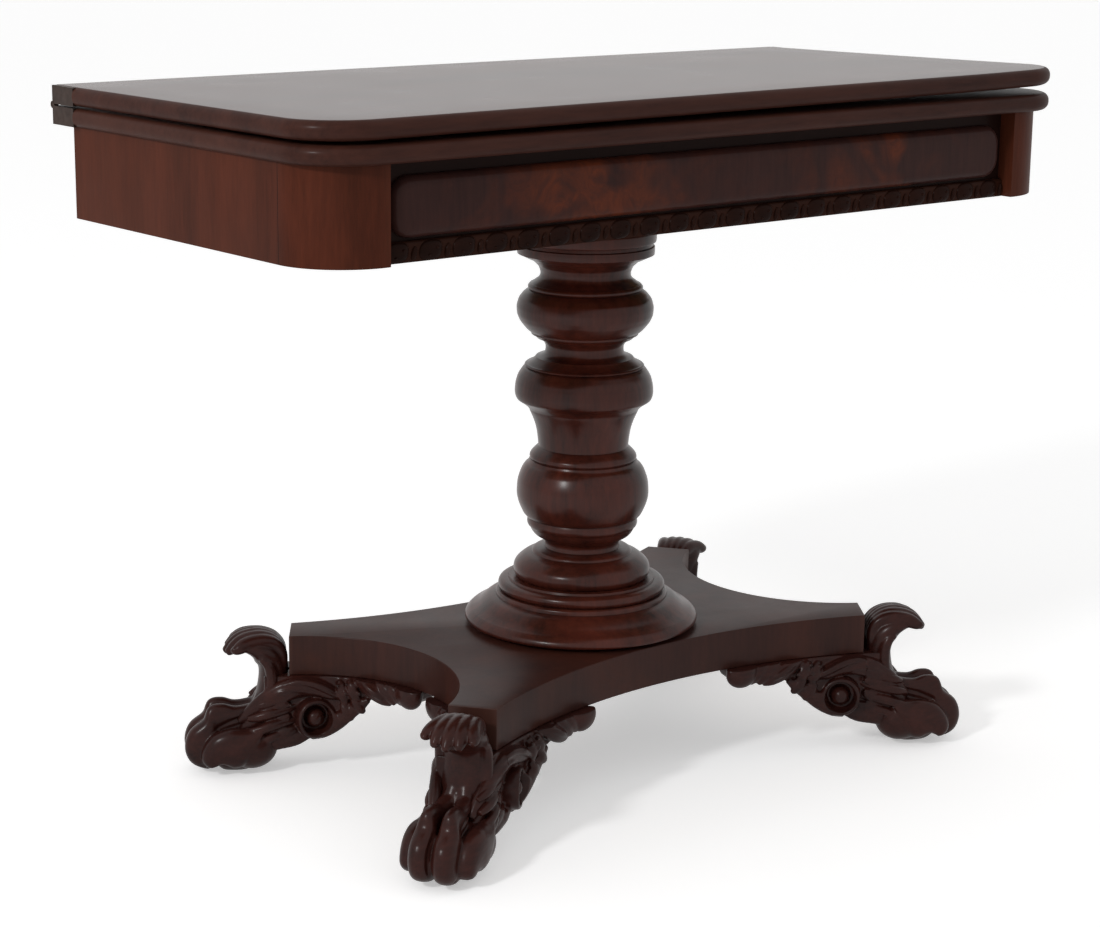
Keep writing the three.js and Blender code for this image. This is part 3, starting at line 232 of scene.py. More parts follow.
def fused(bm, voxel, passes):
    """Melts the overlapping forms of a carving into one skin."""
    bmesh.ops.recalc_face_normals(bm, faces=bm.faces)
    rough = as_object("rough_carving", bm)
    remesh = rough.modifiers.new("melt", "REMESH")
    remesh.mode = "VOXEL"
    remesh.voxel_size = voxel
    soften = rough.modifiers.new("soften", "SMOOTH")
    soften.factor = 0.5
    soften.iterations = passes
    return modified(rough)


def cut_away(bm, tool):
    """Takes a second mesh out of the first, exactly."""
    whole, waste = as_object("whole", bm), as_object("waste", tool)
    cut = whole.modifiers.new("cut", "BOOLEAN")
    cut.operation = "DIFFERENCE"
    cut.solver = "EXACT"
    cut.object = waste
    return modified(whole, waste)


def smoothed(bm, factor):
    bmesh.ops.smooth_vert(
        bm, verts=bm.verts, factor=factor, use_axis_x=True, use_axis_y=True, use_axis_z=True
    )


def stroked(bm, strokes):
    """Presses gouge strokes into a skin, or raises ridges where the depth is negative.
    Each stroke: points, radius, depth."""
    bm.normal_update()
    co = np.array([v.co for v in bm.verts])
    normal = np.array([v.normal for v in bm.verts])
    shift = np.zeros(len(co))
    for points, radius, depth in strokes:
        line = np.array(through(points, 4))
        low, high = line.min(0) - radius, line.max(0) + radius
        near = np.nonzero(np.all((co > low) & (co < high), axis=1))[0]
        if not len(near):
            continue
        best = np.full(len(near), 1e9)
        taper = np.zeros(len(near))
        for i in range(len(line) - 1):
            a, b = line[i], line[i + 1]
            ab = b - a
            t = np.clip(((co[near] - a) @ ab) / max(ab @ ab, 1e-9), 0, 1)
            distance = np.linalg.norm(co[near] - (a + t[:, None] * ab), axis=1)
            closer = distance < best
            best[closer] = distance[closer]
            along = (i + t[closer]) / (len(line) - 1)
            inside = STROKE_START + (1 - 2 * STROKE_START) * along
            taper[closer] = np.sin(np.pi * np.clip(inside, 0, 1)) ** STROKE_SWELL
        press = np.clip(1 - (best / radius) ** 2, 0, 1) ** 2
        shift[near] -= depth * press * taper
    moved = co + normal * shift[:, None]
    for v, p in zip(bm.verts, moved):
        v.co = p


# Share of the lacquer on faces that look down, and how level a face has to be to count
UNDERSIDE_POLISH = 0.3
LEVEL_NORMAL = 0.97


def polish_of(face, top_polish):
    if face.normal.z > LEVEL_NORMAL:
        return top_polish
    return UNDERSIDE_POLISH if face.normal.z < -LEVEL_NORMAL else 0.0


def finished(name, bm, body, material, replaced, sharp=35, top_polish=1.0):
    """Turns a mesh in millimetres into a named piece that rides on a body."""
    bmesh.ops.scale(bm, vec=(MM, MM, MM), verts=bm.verts)
    piece = as_object(name, bm)
    mesh = piece.data
    mesh.polygons.foreach_set("use_smooth", [True] * len(mesh.polygons))
    if sharp:
        mesh.set_sharp_from_angle(angle=math.radians(sharp))
    mesh.materials.append(material)
    lacquer = mesh.attributes.new("lacquer", "FLOAT", "FACE")
    lacquer.data.foreach_set("value", [polish_of(face, top_polish) for face in mesh.polygons])
    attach(piece, body)
    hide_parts(*replaced)


# Shader groups that several finishes share
SOCKET_KINDS = {type(None): "NodeSocketVector", tuple: "NodeSocketColor", float: "NodeSocketFloat"}


def shader_group(name, inputs, outputs):
    """A node group whose sockets are vectors, colours or numbers, by what they start with."""
    group = bpy.data.node_groups.new(name, "ShaderNodeTree")
    for label, value in inputs.items():
        kind = SOCKET_KINDS[type(value)]
        socket = group.interface.new_socket(name=label, in_out="INPUT", socket_type=kind)
        if value is not None:
            socket.default_value = value
    for label in outputs:
        kind = SOCKET_KINDS[tuple if label == "Color" else float]
        group.interface.new_socket(name=label, in_out="OUTPUT", socket_type=kind)
    return group, group.nodes.new("NodeGroupInput"), group.nodes.new("NodeGroupOutput")


def node(tree, kind, values=(), links=(), **settings):
    made = tree.nodes.new(kind)
    for key, value in settings.items():
        setattr(made, key, value)
    for key, value in dict(values).items():
        made.inputs[key].default_value = value
    for key, socket in dict(links).items():
        tree.links.new(socket, made.inputs[key])
    return made


def noise(tree, place, scale, detail, roughness=0.5, distortion=0.0):
    made = node(
        tree, "ShaderNodeTexNoise",
        {"Detail": detail, "Roughness": roughness, "Distortion": distortion}, {"Vector": place},
    )
    if isinstance(scale, float):
        made.inputs["Scale"].default_value = scale
    else:
        tree.links.new(scale, made.inputs["Scale"])
    return made.outputs[0]


def ramp(tree, factor, stops):
    made = node(tree, "ShaderNodeValToRGB", links={"Fac": factor})
    points = made.color_ramp.elements
    while len(points) < len(stops):
        points.new(0.5)
    for point, (place, shade) in zip(points, stops):
        point.position = place
        point.color = (*shade, 1) if isinstance(shade, tuple) else (shade, shade, shade, 1)
    return made.outputs["Color"]


def mixed(tree, factor, a, b, blend="MIX"):
    made = node(tree, "ShaderNodeMix", data_type="RGBA", blend_type=blend)
    for socket, value in ((made.inputs["Factor"], factor), (made.inputs[6], a), (made.inputs[7], b)):
        if isinstance(value, bpy.types.NodeSocket):
            tree.links.new(value, socket)
        else:
            socket.default_value = value
    return made.outputs[2]


def math_node(tree, operation, a, b=0.0, clamp=False):
    made = node(tree, "ShaderNodeMath", operation=operation, use_clamp=clamp)
    for socket, value in zip(made.inputs, (a, b)):
        if isinstance(value, bpy.types.NodeSocket):
            tree.links.new(value, socket)
        else:
            socket.default_value = value
    return made.outputs[0]


def make_grain_group():
    """Fibres that run along X of the vector, with ribbons and pores."""
    group, source, sink = shader_group(
        "timber grain",
        {
            "Vector": None,
            "Dark": (0.03, 0.01, 0.008, 1),
            "Light": (0.1, 0.04, 0.03, 1),
            "Ribbon Width": 0.03,
            "Contrast": 1.0,
        },
        ("Color", "Pores"),
    )
    stretch = node(
        group, "ShaderNodeVectorMath", {1: (0.12, 1, 1)}, {0: source.outputs["Vector"]},
        operation="MULTIPLY",
    )
    inverse = math_node(group, "DIVIDE", 1.0, source.outputs["Ribbon Width"])
    ribbons = noise(group, stretch.outputs[0], inverse, 4.0, 0.6, 0.5)
    fibres = noise(group, stretch.outputs[0], math_node(group, "MULTIPLY", inverse, 9.0), 3.0, 0.7)
    centred = math_node(group, "SUBTRACT", ribbons, 0.5)
    strong = math_node(group, "MULTIPLY", centred, source.outputs["Contrast"])
    fine = math_node(group, "MULTIPLY", math_node(group, "SUBTRACT", fibres, 0.5), 0.55)
    total = math_node(group, "ADD", math_node(group, "ADD", strong, fine), 0.5, clamp=True)
    smooth = ramp(group, total, ((0.22, 0.0), (0.78, 1.0)))
    colour = mixed(group, smooth, source.outputs["Dark"], source.outputs["Light"])
    group.links.new(colour, sink.inputs["Color"])
    pores = ramp(group, fibres, ((0.34, 0.0), (0.46, 1.0)))
    group.links.new(pores, sink.inputs["Pores"])
    return group


def make_flame_group():
    """Plume-like patches of crotch veneer."""
    group, source, sink = shader_group(
        "flame figure",
        {
            "Vector": None,
            "Base": (0.05, 0.02, 0.015, 1),
            "Flame": (0.16, 0.05, 0.025, 1),
            "Patch Size": 0.12,
            "Amount": 1.0,
        },
        ("Color",),
    )
    inverse = math_node(group, "DIVIDE", 1.0, source.outputs["Patch Size"])
    place = source.outputs["Vector"]
    patches = noise(group, place, inverse, 2.0, 0.5, 1.4)
    plumes = noise(group, place, math_node(group, "MULTIPLY", inverse, 3.2), 5.0, 0.62, 2.2)
    broad = ramp(group, patches, ((0.42, 0.0), (0.6, 1.0)))
    tongue = ramp(group, plumes, ((0.35, 0.35), (0.62, 1.0)))
    mask = math_node(group, "MULTIPLY", broad, tongue)
    mask = math_node(group, "MULTIPLY", mask, source.outputs["Amount"], clamp=True)
    colour = mixed(group, mask, source.outputs["Base"], source.outputs["Flame"])
    group.links.new(colour, sink.inputs["Color"])
    return group


def make_polish_group():
    """Old polish: dull and bright patches with fine rubbing marks."""
    group, source, sink = shader_group(
        "old polish",
        {
            "Vector": None,
            "Bright": 0.28,
            "Dull": 0.45,
            "Patch Size": 0.08,
        },
        ("Roughness", "Height"),
    )
    inverse = math_node(group, "DIVIDE", 1.0, source.outputs["Patch Size"])
    place = source.outputs["Vector"]
    clouds = noise(group, place, inverse, 5.0, 0.65)
    share = ramp(group, clouds, ((0.3, 0.0), (0.7, 1.0)))
    span = math_node(group, "SUBTRACT", source.outputs["Dull"], source.outputs["Bright"])
    rough = math_node(group, "ADD", source.outputs["Bright"], math_node(group, "MULTIPLY", span, share))
    group.links.new(rough, sink.inputs["Roughness"])
    ripples = noise(group, place, math_node(group, "MULTIPLY", inverse, 2.6), 2.0)
    group.links.new(ripples, sink.inputs["Height"])
    return group


def make_wear_and_painted_light_group():
    """Lighter convex edges, partly rubbed wear and partly painted highlight, and painted shade that
    darkens the hollows, from how convex the surface is.
    """
    group, source, sink = shader_group(
        "rubbed edges and painted light",
        {
            "Color": (0.1, 0.05, 0.03, 1),
            "Edge": (0.2, 0.09, 0.05, 1),
            "Painted Shade": (0.01, 0.005, 0.004, 1),
            "Edge Amount": 0.5,
            "Painted Shade Amount": 0.6,
        },
        ("Color",),
    )
    geometry = node(group, "ShaderNodeNewGeometry")
    point = geometry.outputs["Pointiness"]
    # Lighter colour on convex edges: partly rubbed wear, partly painted highlight.
    edge = ramp(group, point, ((0.52, 0.0), (0.62, 1.0)))
    # Darker colour in hollows and creases: painted shade.
    hollow = ramp(group, point, ((0.4, 1.0), (0.49, 0.0)))
    edge = math_node(group, "MULTIPLY", edge, source.outputs["Edge Amount"])
    hollow = math_node(group, "MULTIPLY", hollow, source.outputs["Painted Shade Amount"])
    first = mixed(group, edge, source.outputs["Color"], source.outputs["Edge"])
    second = mixed(group, hollow, first, source.outputs["Painted Shade"])
    group.links.new(second, sink.inputs["Color"])
    return group


JOINT_HALF_WIDTH = 0.0005
GRAIN = make_grain_group()
FLAME = make_flame_group()
POLISH = make_polish_group()
WEAR_AND_PAINTED_LIGHT = make_wear_and_painted_light_group()


def group_node(tree, group, values=(), links=()):
    made = tree.nodes.new("ShaderNodeGroup")
    made.node_tree = group
    for key, value in dict(values).items():
        made.inputs[key].default_value = value
    for key, socket in dict(links).items():
        tree.links.new(socket, made.inputs[key])
    return made


def rgb(*levels):
    """A colour given as it looks on screen, 0 to 255."""
    linear = [((c / 255 + 0.055) / 1.055) ** 2.4 if c > 10 else c / 3294.6 for c in levels]
    return (*linear, 1)


def new_material(name):
    material = bpy.data.materials.new(name)
    material.use_nodes = True
    tree = material.node_tree
    return material, tree, tree.nodes["Principled BSDF"]


def wood(
    name, dark, light, turn=(0, 0, 0), ribbon=0.03, contrast=1.2, bright=0.3, dull=0.42,
    edge=None, edge_amount=0.4, painted_shade_amount=0.4, flame=None, flame_size=0.12, flame_amount=0.0,
    figure_run=None, specular=0.06, bump=0.12, coat=0.2, lacquer=None, coat_rough=0.16, coat_ior=1.5,
    joint=None,
):
    """Old polished wood. A figure run says where along X the flame lies, a lacquer is the coat
    of the level faces, and a joint is a dark line across Y, in metres."""
    material, tree, shader = new_material(name)
    place = node(tree, "ShaderNodeTexCoord").outputs["Object"]
    turned_place = node(tree, "ShaderNodeMapping", {"Rotation": turn}, {"Vector": place}).outputs[0]
    grain = group_node(
        tree, GRAIN,
        {"Dark": dark, "Light": light, "Ribbon Width": ribbon, "Contrast": contrast},
        {"Vector": turned_place},
    )
    colour = grain.outputs["Color"]
    if flame:
        figure = group_node(
            tree, FLAME, {"Flame": flame, "Patch Size": flame_size, "Amount": flame_amount},
            {"Vector": turned_place, "Base": colour},
        )
        if figure_run:
            across = node(tree, "ShaderNodeSeparateXYZ", links={0: place}).outputs["X"]
            share = math_node(tree, "DIVIDE", across, 2 * RECESS_HALF_WIDTH * MM)
            share = math_node(tree, "ADD", share, 0.5)
            tree.links.new(ramp(tree, share, figure_run), figure.inputs["Amount"])
        colour = figure.outputs["Color"]
    # This group lightens convex edges, partly rubbed wear and partly painted highlight, and darkens the
    # hollows with painted shade.
    wear_and_painted_light = group_node(
        tree, WEAR_AND_PAINTED_LIGHT,
        {"Edge": edge or light, "Edge Amount": edge_amount, "Painted Shade Amount": painted_shade_amount},
        {"Color": colour},
    )
    colour = wear_and_painted_light.outputs["Color"]
    if joint:
        depth = node(tree, "ShaderNodeSeparateXYZ", links={0: place}).outputs["Y"]
        away = math_node(tree, "ABSOLUTE", math_node(tree, "SUBTRACT", depth, joint))
        line = math_node(tree, "LESS_THAN", away, JOINT_HALF_WIDTH)
        colour = mixed(tree, math_node(tree, "MULTIPLY", line, 0.7), colour, rgb(14, 8, 7))
    tree.links.new(colour, shader.inputs["Base Color"])
    polish = group_node(tree, POLISH, {"Bright": bright, "Dull": dull}, {"Vector": place})
    tree.links.new(polish.outputs["Roughness"], shader.inputs["Roughness"])
    pores = math_node(tree, "MULTIPLY", grain.outputs["Pores"], 0.25)
    relief = math_node(tree, "ADD", pores, polish.outputs["Height"])
    lifted = node(tree, "ShaderNodeBump", {"Strength": bump, "Distance": 0.0006}, {"Height": relief})
    tree.links.new(lifted.outputs[0], shader.inputs["Normal"])
    shader.inputs["Specular IOR Level"].default_value = specular
    shader.inputs["Coat Weight"].default_value = coat
    if lacquer:
        flat = node(tree, "ShaderNodeAttribute", attribute_name="lacquer").outputs["Fac"]
        weight = math_node(tree, "ADD", math_node(tree, "MULTIPLY", flat, lacquer - coat), coat)
        tree.links.new(weight, shader.inputs["Coat Weight"])
    shader.inputs["Coat Roughness"].default_value = coat_rough
    shader.inputs["Coat IOR"].default_value = coat_ior
    return material


def metal(name, colour, bright, dull):
    material, tree, shader = new_material(name)
    place = node(tree, "ShaderNodeTexCoord").outputs["Object"]
    spots = noise(tree, place, 140.0, 4.0)
    darker, lighter = ((*(c * share for c in colour[:3]), 1) for share in (0.45, 1.4))
    shade = mixed(tree, spots, darker, lighter)
    tree.links.new(shade, shader.inputs["Base Color"])
    polish = group_node(
        tree, POLISH, {"Bright": bright, "Dull": dull, "Patch Size": 0.01}, {"Vector": place}
    )
    tree.links.new(polish.outputs["Roughness"], shader.inputs["Roughness"])
    shader.inputs["Metallic"].default_value = 0.9
    return material


# In the woods below, the hollow amount paints shade into the hollows, and the edge colour and amount
# give lighter edges that are partly rubbed wear and partly painted highlight.
UPRIGHT = (0, math.radians(90), 0)
top_wood = wood(
    "mahogany top", rgb(40, 21, 17), rgb(68, 38, 30), ribbon=0.05, contrast=0.9, bright=0.46, dull=0.56,
    edge=rgb(84, 50, 39), edge_amount=0.5, bump=0.1, specular=0.04,
    coat=0.05, lacquer=0.64, coat_rough=0.26, coat_ior=1.8,
)
frame_wood = wood(
    "mahogany frame", rgb(18, 9, 7), rgb(34, 18, 14), ribbon=0.04, bright=0.44, dull=0.56,
    specular=0.03, coat=0.03,
)
end_veneer = wood(
    "ribbon veneer", rgb(50, 22, 13), rgb(80, 37, 23), turn=UPRIGHT, ribbon=0.035, contrast=1.3,
    bright=0.4, dull=0.5, edge=rgb(90, 48, 34), edge_amount=0.3, specular=0.02, coat=0.06,
    joint=-0.1505,
)
# Where the plumes lie along the tablet: share of its length, strength
PLUMES_ALONG = (
    (0.05, 0.05), (0.16, 0.35), (0.23, 0.9), (0.31, 1.0), (0.39, 0.6), (0.47, 0.15),
    (0.6, 0.12), (0.7, 0.5), (0.79, 1.0), (0.88, 0.35), (0.96, 0.0),
)
flame_veneer = wood(
    "flame veneer", rgb(42, 26, 25), rgb(60, 36, 32), turn=UPRIGHT, ribbon=0.05, contrast=0.8,
    bright=0.36, dull=0.46, flame=rgb(94, 45, 28), flame_size=0.09, figure_run=PLUMES_ALONG,
    edge_amount=0.0, painted_shade_amount=0.0, specular=0.03, coat=0.08,
)
# Strong painted shade in the hollows between the turned forms, and lighter edges that are partly
# painted highlight.
turned_wood = wood(
    "turned mahogany", rgb(24, 10, 8), rgb(78, 34, 24), turn=UPRIGHT, ribbon=0.07, contrast=1.15,
    bright=0.3, dull=0.4, edge=rgb(84, 42, 31), edge_amount=0.3, painted_shade_amount=0.9, coat=0.32,
    coat_rough=0.25,
)
plinth_veneer = wood(
    "plinth veneer", rgb(38, 20, 17), rgb(58, 31, 25), turn=UPRIGHT, ribbon=0.05, contrast=0.9,
    bright=0.45, dull=0.55, flame=rgb(66, 32, 21), flame_size=0.14, flame_amount=0.5,
    edge=rgb(66, 40, 32), edge_amount=0.4, specular=0.04, coat=0.2, coat_rough=0.3,
)
# Strong painted shade in the carvings' hollows, and lighter edges that are partly painted highlight.
carved_wood = wood(
    "carved mahogany", rgb(31, 14, 12), rgb(58, 28, 23), ribbon=0.04, contrast=1.0,
    bright=0.3, dull=0.42, edge=rgb(76, 42, 34), edge_amount=0.5, painted_shade_amount=0.9, specular=0.04,
    coat=0.22, coat_rough=0.24,
)
# Strong painted shade between the lobes, and lighter lobe edges that are partly painted highlight.
gadroon_wood = wood(
    "gadroon mahogany", rgb(22, 11, 8), rgb(38, 20, 15), ribbon=0.04, contrast=1.0,
    bright=0.34, dull=0.46, edge=rgb(80, 46, 34), edge_amount=0.22, painted_shade_amount=0.9, specular=0.01,
    coat=0.04, coat_rough=0.2,
)
plain_wood = wood(
    "plain inner wood", rgb(112, 82, 52), rgb(150, 116, 78), ribbon=0.03, bright=0.75, dull=0.9,
    edge_amount=0.1, specular=0.2, bump=0.3, coat=0.0,
)
brass = metal("dark brass", rgb(62, 48, 42), 0.45, 0.6)
iron = metal("dull iron", rgb(74, 70, 66), 0.5, 0.7)


# Double top
FRONT_LIFT = 1.4
TWIST_LIFT = 4.5
CORNER_CURL = 2
CORNER_CURL_LENGTH = 180
LEAF_STRIPS = (16, 8)
HINGE_NOTCH_OVERRUN = (5, 10)


def wound(co):
    """The slight wind that lifts the upper leaf's front right corner."""
    rightward = max(0.0, (co.x + LEAF_HALF_WIDTH) / (2 * LEAF_HALF_WIDTH))
    forward = max(0.0, (LEAF_HALF_DEPTH - co.y) / (2 * LEAF_HALF_DEPTH))
    curl = max(0.0, (co.x - LEAF_HALF_WIDTH + CORNER_CURL_LENGTH) / CORNER_CURL_LENGTH)
    return (FRONT_LIFT + TWIST_LIFT * rightward) * forward + CORNER_CURL * curl ** 2 * forward ** 2


def sliced(bm, axis, half, strips):
    """Cuts a leaf into equal strips along an axis, so that it can bend."""
    for i in range(1, strips):
        place = Vector((0, 0, 0))
        place[axis] = -half + i * half * 2 / strips
        normal = Vector((0, 0, 0))
        normal[axis] = 1
        bmesh.ops.bisect_plane(
            bm, geom=bm.verts[:] + bm.edges[:] + bm.faces[:], plane_co=place, plane_no=normal
        )


def make_leaf(name, bottom, body, winding):
    bm = bmesh.new()
    top = bottom + LEAF_THICK
    block(bm, (-LEAF_HALF_WIDTH, -LEAF_HALF_DEPTH, bottom), (LEAF_HALF_WIDTH, LEAF_HALF_DEPTH, top))
    rounded(bm, edges_where(bm, lambda a, b: upright(a, b) and a.y < 0), LEAF_CORNER, 24)
    back = LEAF_HALF_DEPTH - 0.01
    rim = edges_where(bm, lambda a, b: level(a, b) and not (a.y > back and b.y > back))
    rounded(bm, rim, LEAF_NOSE, 7)
    rear = edges_where(bm, lambda a, b: level(a, b) and a.y > back and b.y > back)
    rounded(bm, rear, 0.6, 2)
    if winding:
        sliced(bm, 0, LEAF_HALF_WIDTH, LEAF_STRIPS[0])
        sliced(bm, 1, LEAF_HALF_DEPTH, LEAF_STRIPS[1])
        for v in bm.verts:
            v.co.z += wound(v.co)
    for side in (-1, 1):
        cutter = bmesh.new()
        aside, over = HINGE_NOTCH_OVERRUN
        x = sorted((side * HINGE_INNER, side * (LEAF_HALF_WIDTH + aside)))
        block(
            cutter,
            (x[0], LEAF_HALF_DEPTH - HINGE_LENGTH, bottom - over),
            (x[1], LEAF_HALF_DEPTH + aside, top + over),
        )
        bm = cut_away(bm, cutter)
    polish = 1.0 if winding else UNDERSIDE_POLISH
    replaced = (name.replace("_shaped", ""),)
    finished(name, bm, body, top_wood, replaced, 30, polish)


make_leaf("lower_leaf_shaped", LOWER_LEAF_BOTTOM, "lower_top", False)
make_leaf("upper_leaf_shaped", UPPER_LEAF_BOTTOM, "upper_top", True)


# Frame ends, tablet and gadroon
FRONT_BOARD_THICK = 18
TABLET_END_MARGIN = 10
TABLET_RISE = 11.3
TABLET_LOW = FRAME_TOP - 67.5
TABLET_HIGH = FRAME_TOP - 12.5
TABLET_CORNER = 20
TABLET_EDGE = 10.6
GADROON_HEIGHT = 18.5
GADROON_BACKING = 5
GADROON_LOBES = 22
# A lobe and the dart beside it: share of the pitch, outwards, up; half sizes; slant; squareness
# along and up; segments
GADROON_FORMS = (
    ((0.42, -4.4, 9.2), (12.6, 4.6, 9.0), 1.6, (0.75, 0.8), (28, 16)),
    ((0.92, -4.8, 7.5), (3, 3, 6.4), 1.2, (1, 1), (12, 10)),
)
# Pair of beads on a lobe: share of the pitch, along, outwards, up; radii
GADROON_BEADS = ((0.42, -3.6, -8.4, 5.2), (0.42, 4.6, -8.4, 11.4))
BEAD = (1.4, 1.9, 1.4)
JOINT_GAP = 0.3


def make_end(word, side):
    bm = bmesh.new()
    inner = FRAME_HALF_WIDTH - APRON_THICK
    rear = BOARD_FACE + FRONT_BOARD_THICK
    outline = (
        (FRAME_HALF_WIDTH, FRAME_BACK), (inner, FRAME_BACK), (inner, rear),
        (RECESS_HALF_WIDTH, rear), (RECESS_HALF_WIDTH, FRAME_FRONT), (FRAME_HALF_WIDTH, FRAME_FRONT),
    )
    raised(bm, outline, FRAME_BOTTOM, FRAME_TOP)
    outer = FRAME_HALF_WIDTH - 0.01
    corner = edges_where(
        bm, lambda a, b: upright(a, b) and a.x > outer and a.y < FRAME_FRONT + 0.01
    )
    rounded(bm, corner, APRON_CORNER, 24)
    foot = edges_where(bm, lambda a, b: level(a, b) and a.z < FRAME_BOTTOM + 0.01)
    rounded(bm, foot, 0.8, 2)
    if side < 0:
        bmesh.ops.scale(bm, vec=(-1, 1, 1), verts=bm.verts)
        bmesh.ops.reverse_faces(bm, faces=bm.faces)
    replaced = (f"end_apron_{word}",)
    finished(f"end_board_{word}", bm, "frame", end_veneer, replaced)


make_end("left", -1)
make_end("right", 1)


def make_tablet():
    bm = bmesh.new()
    half = RECESS_HALF_WIDTH - TABLET_END_MARGIN
    front = BOARD_FACE - TABLET_RISE
    block(bm, (-half, front, TABLET_LOW), (half, BOARD_FACE - JOINT_GAP, TABLET_HIGH))
    ends = edges_where(bm, lambda a, b: abs(a.x - b.x) < 1e-4 and abs(a.z - b.z) < 1e-4)
    rounded(bm, ends, TABLET_CORNER, 10)
    face = edges_where(bm, lambda a, b: a.y < front + 0.01 and b.y < front + 0.01)
    rounded(bm, face, TABLET_EDGE, 10)
    finished("front_tablet_shaped", bm, "frame", flame_veneer, ("front_tablet",))


make_tablet()


def make_gadroon():
    bm = bmesh.new()
    half = RECESS_HALF_WIDTH - JOINT_GAP
    pitch = 2 * half / GADROON_LOBES
    back = BOARD_FACE - JOINT_GAP
    front = back - GADROON_BACKING
    block(bm, (-half, front, FRAME_BOTTOM), (half, back, FRAME_BOTTOM + GADROON_HEIGHT))
    upper_front = edges_where(
        bm,
        lambda a, b: max(a.y, b.y) < front + 0.1 and level(a, b)
        and a.z > FRAME_BOTTOM + GADROON_HEIGHT / 2 - 0.25,
    )
    rounded(bm, upper_front, 3, 4)
    for i in range(GADROON_LOBES):
        for (share, out, up), half_sizes, slant, powers, segments in GADROON_FORMS:
            place = Vector((-half + pitch * (i + share), back + out, FRAME_BOTTOM + up))
            ball = bmesh.ops.create_uvsphere(
                bm, u_segments=segments[0], v_segments=segments[1], radius=1
            )["verts"]
            for v in ball:
                x, y, z = v.co
                broad, tall = (math.copysign(abs(c) ** p, c) for c, p in zip((x, z), powers))
                wide, deep, high = half_sizes
                v.co = place + Vector((broad * wide + slant * z, y * deep, tall * high))
        for share, aside, out, up in GADROON_BEADS:
            place = (-half + pitch * (i + share) + aside, back + out, FRAME_BOTTOM + up)
            blob(bm, place, BEAD)
    finished("gadroon_carved", bm, "frame", gadroon_wood, ("gadroon_moulding",))


make_gadroon()

# Turned column: each row is a smooth run of radius and height, and runs meet in corners
SHAFT_RUNS = (
    ((0, 552.9), (68.4, 552.9)),
    ((68.4, 552.9), (68.8, 550)),
    ((70.6, 549), (70.8, 545), (70.5, 541)),
    ((68.5, 540.2), (62, 537), (55.5, 534), (52, 531), (49, 528), (47.5, 524.6), (46.6, 521.5),
     (46.8, 518.4), (48.5, 515.3), (52.6, 512.2), (56.2, 509.6)),
    ((57.2, 509.4), (59, 507.4), (59.2, 505.4), (58, 503.6)),
    ((60, 502.8), (63.7, 500), (66.5, 496.7), (68.6, 493.6), (70.5, 487), (70.6, 482.5), (70.1, 478),
     (69, 475), (67.5, 471.7), (65.2, 468.5), (62.7, 465.4), (59.5, 462), (55.8, 459.2)),
    ((55.4, 457.4), (52.6, 456), (49.9, 453.4)),
    ((47.6, 452.9), (43, 449.5), (40.8, 446), (40.4, 443), (40.6, 440), (41.8, 437), (45, 434.8),
     (48.6, 433.6)),
    ((50.4, 433.2), (52.4, 430.8), (56.7, 427.5), (59.4, 426)),
    ((60.6, 426), (62, 424.6), (61, 422.9)),
    ((62, 422.4), (64, 421), (66.1, 418), (68, 415), (69.4, 412), (70.4, 408.6), (71.2, 405.5),
     (71.8, 400), (71.9, 396), (71.4, 392.8)),
    ((70.8, 391), (69.4, 388.8), (65, 385.9), (60.6, 382.6), (58.1, 380)),
    ((57, 378.6), (56.2, 376.2), (53.4, 370), (51.1, 363.8), (49.3, 357.4), (48.2, 351), (47.4, 344.5),
     (46.9, 338.6)),
    ((49.2, 337), (53.3, 333), (55.4, 330), (55.9, 327.4), (54.8, 325.2)),
    ((56.2, 324.4), (57.6, 321.6), (60.6, 319), (63, 315.8), (64.7, 312.5), (67.1, 306), (68.5, 299.7),
     (69.1, 290), (68.4, 283.5), (66.5, 277), (63.6, 270.4), (61.7, 267), (58.8, 263.8)),
    ((56.8, 262.8), (57.6, 260.3), (57.9, 257.3), (57, 254.4), (55, 252.4)),
    ((54.2, 250.4), (52.4, 247.4), (49.4, 244.2), (43.8, 240.8), (39.8, 237.5), (38.8, 234),
     (39.4, 230.4)),
    ((45, 229.6), (49.5, 228.6), (52, 226.8), (52.6, 225)),
    ((55, 224.2), (60.4, 222.2), (66.2, 218), (70.3, 213.4), (71.8, 208.2), (71.2, 203.4), (69, 199.6),
     (68, 198.9)),
    ((68, 198.9), (0, 198.9)),
)
FLARE_RUNS = (
    ((0, 198.6), (76.4, 198.6)),
    ((76.4, 198.6), (77.2, 196.4)),
    ((82.6, 196.1), (86.2, 194.2), (87.8, 190.6), (87, 187), (84.8, 185)),
    ((88.4, 184.4), (90.2, 182.6), (90.6, 179.4)),
    ((93.2, 178.6), (98.4, 176.6), (104, 172.6), (108.6, 168.6), (113.4, 165.6), (117, 163.8)),
    ((119.2, 162), (121.8, 159.2), (122.9, 156.2), (122.4, 153.8), (120.4, 152.6)),
    ((120.4, 152.6), (108.6, 152.2)),
    ((108.6, 152.2), (107, 149.1)),
    ((107, 149.1), (0, 149.1)),
)
CAPITAL_RUNS = (
    ((0, 566.2), (69.6, 566.2)),
    ((69.6, 566.2), (71.8, 565.2), (72.4, 562.4), (72.4, 557), (71.8, 554.2), (69.6, 553.2)),
    ((69.6, 553.2), (0, 553.2)),
)

for piece_name, runs, replaced in (
    ("column_shaft_turned", SHAFT_RUNS, "column_shaft"),
    ("column_flare_turned", FLARE_RUNS, "column_flare"),
    ("column_capital_turned", CAPITAL_RUNS, "column_capital"),
):
    turning = bmesh.new()
    turned(turning, runs)
    finished(piece_name, turning, "frame", turned_wood, (replaced,), 28)


# Plinth
HOLLOW_STEPS = 40


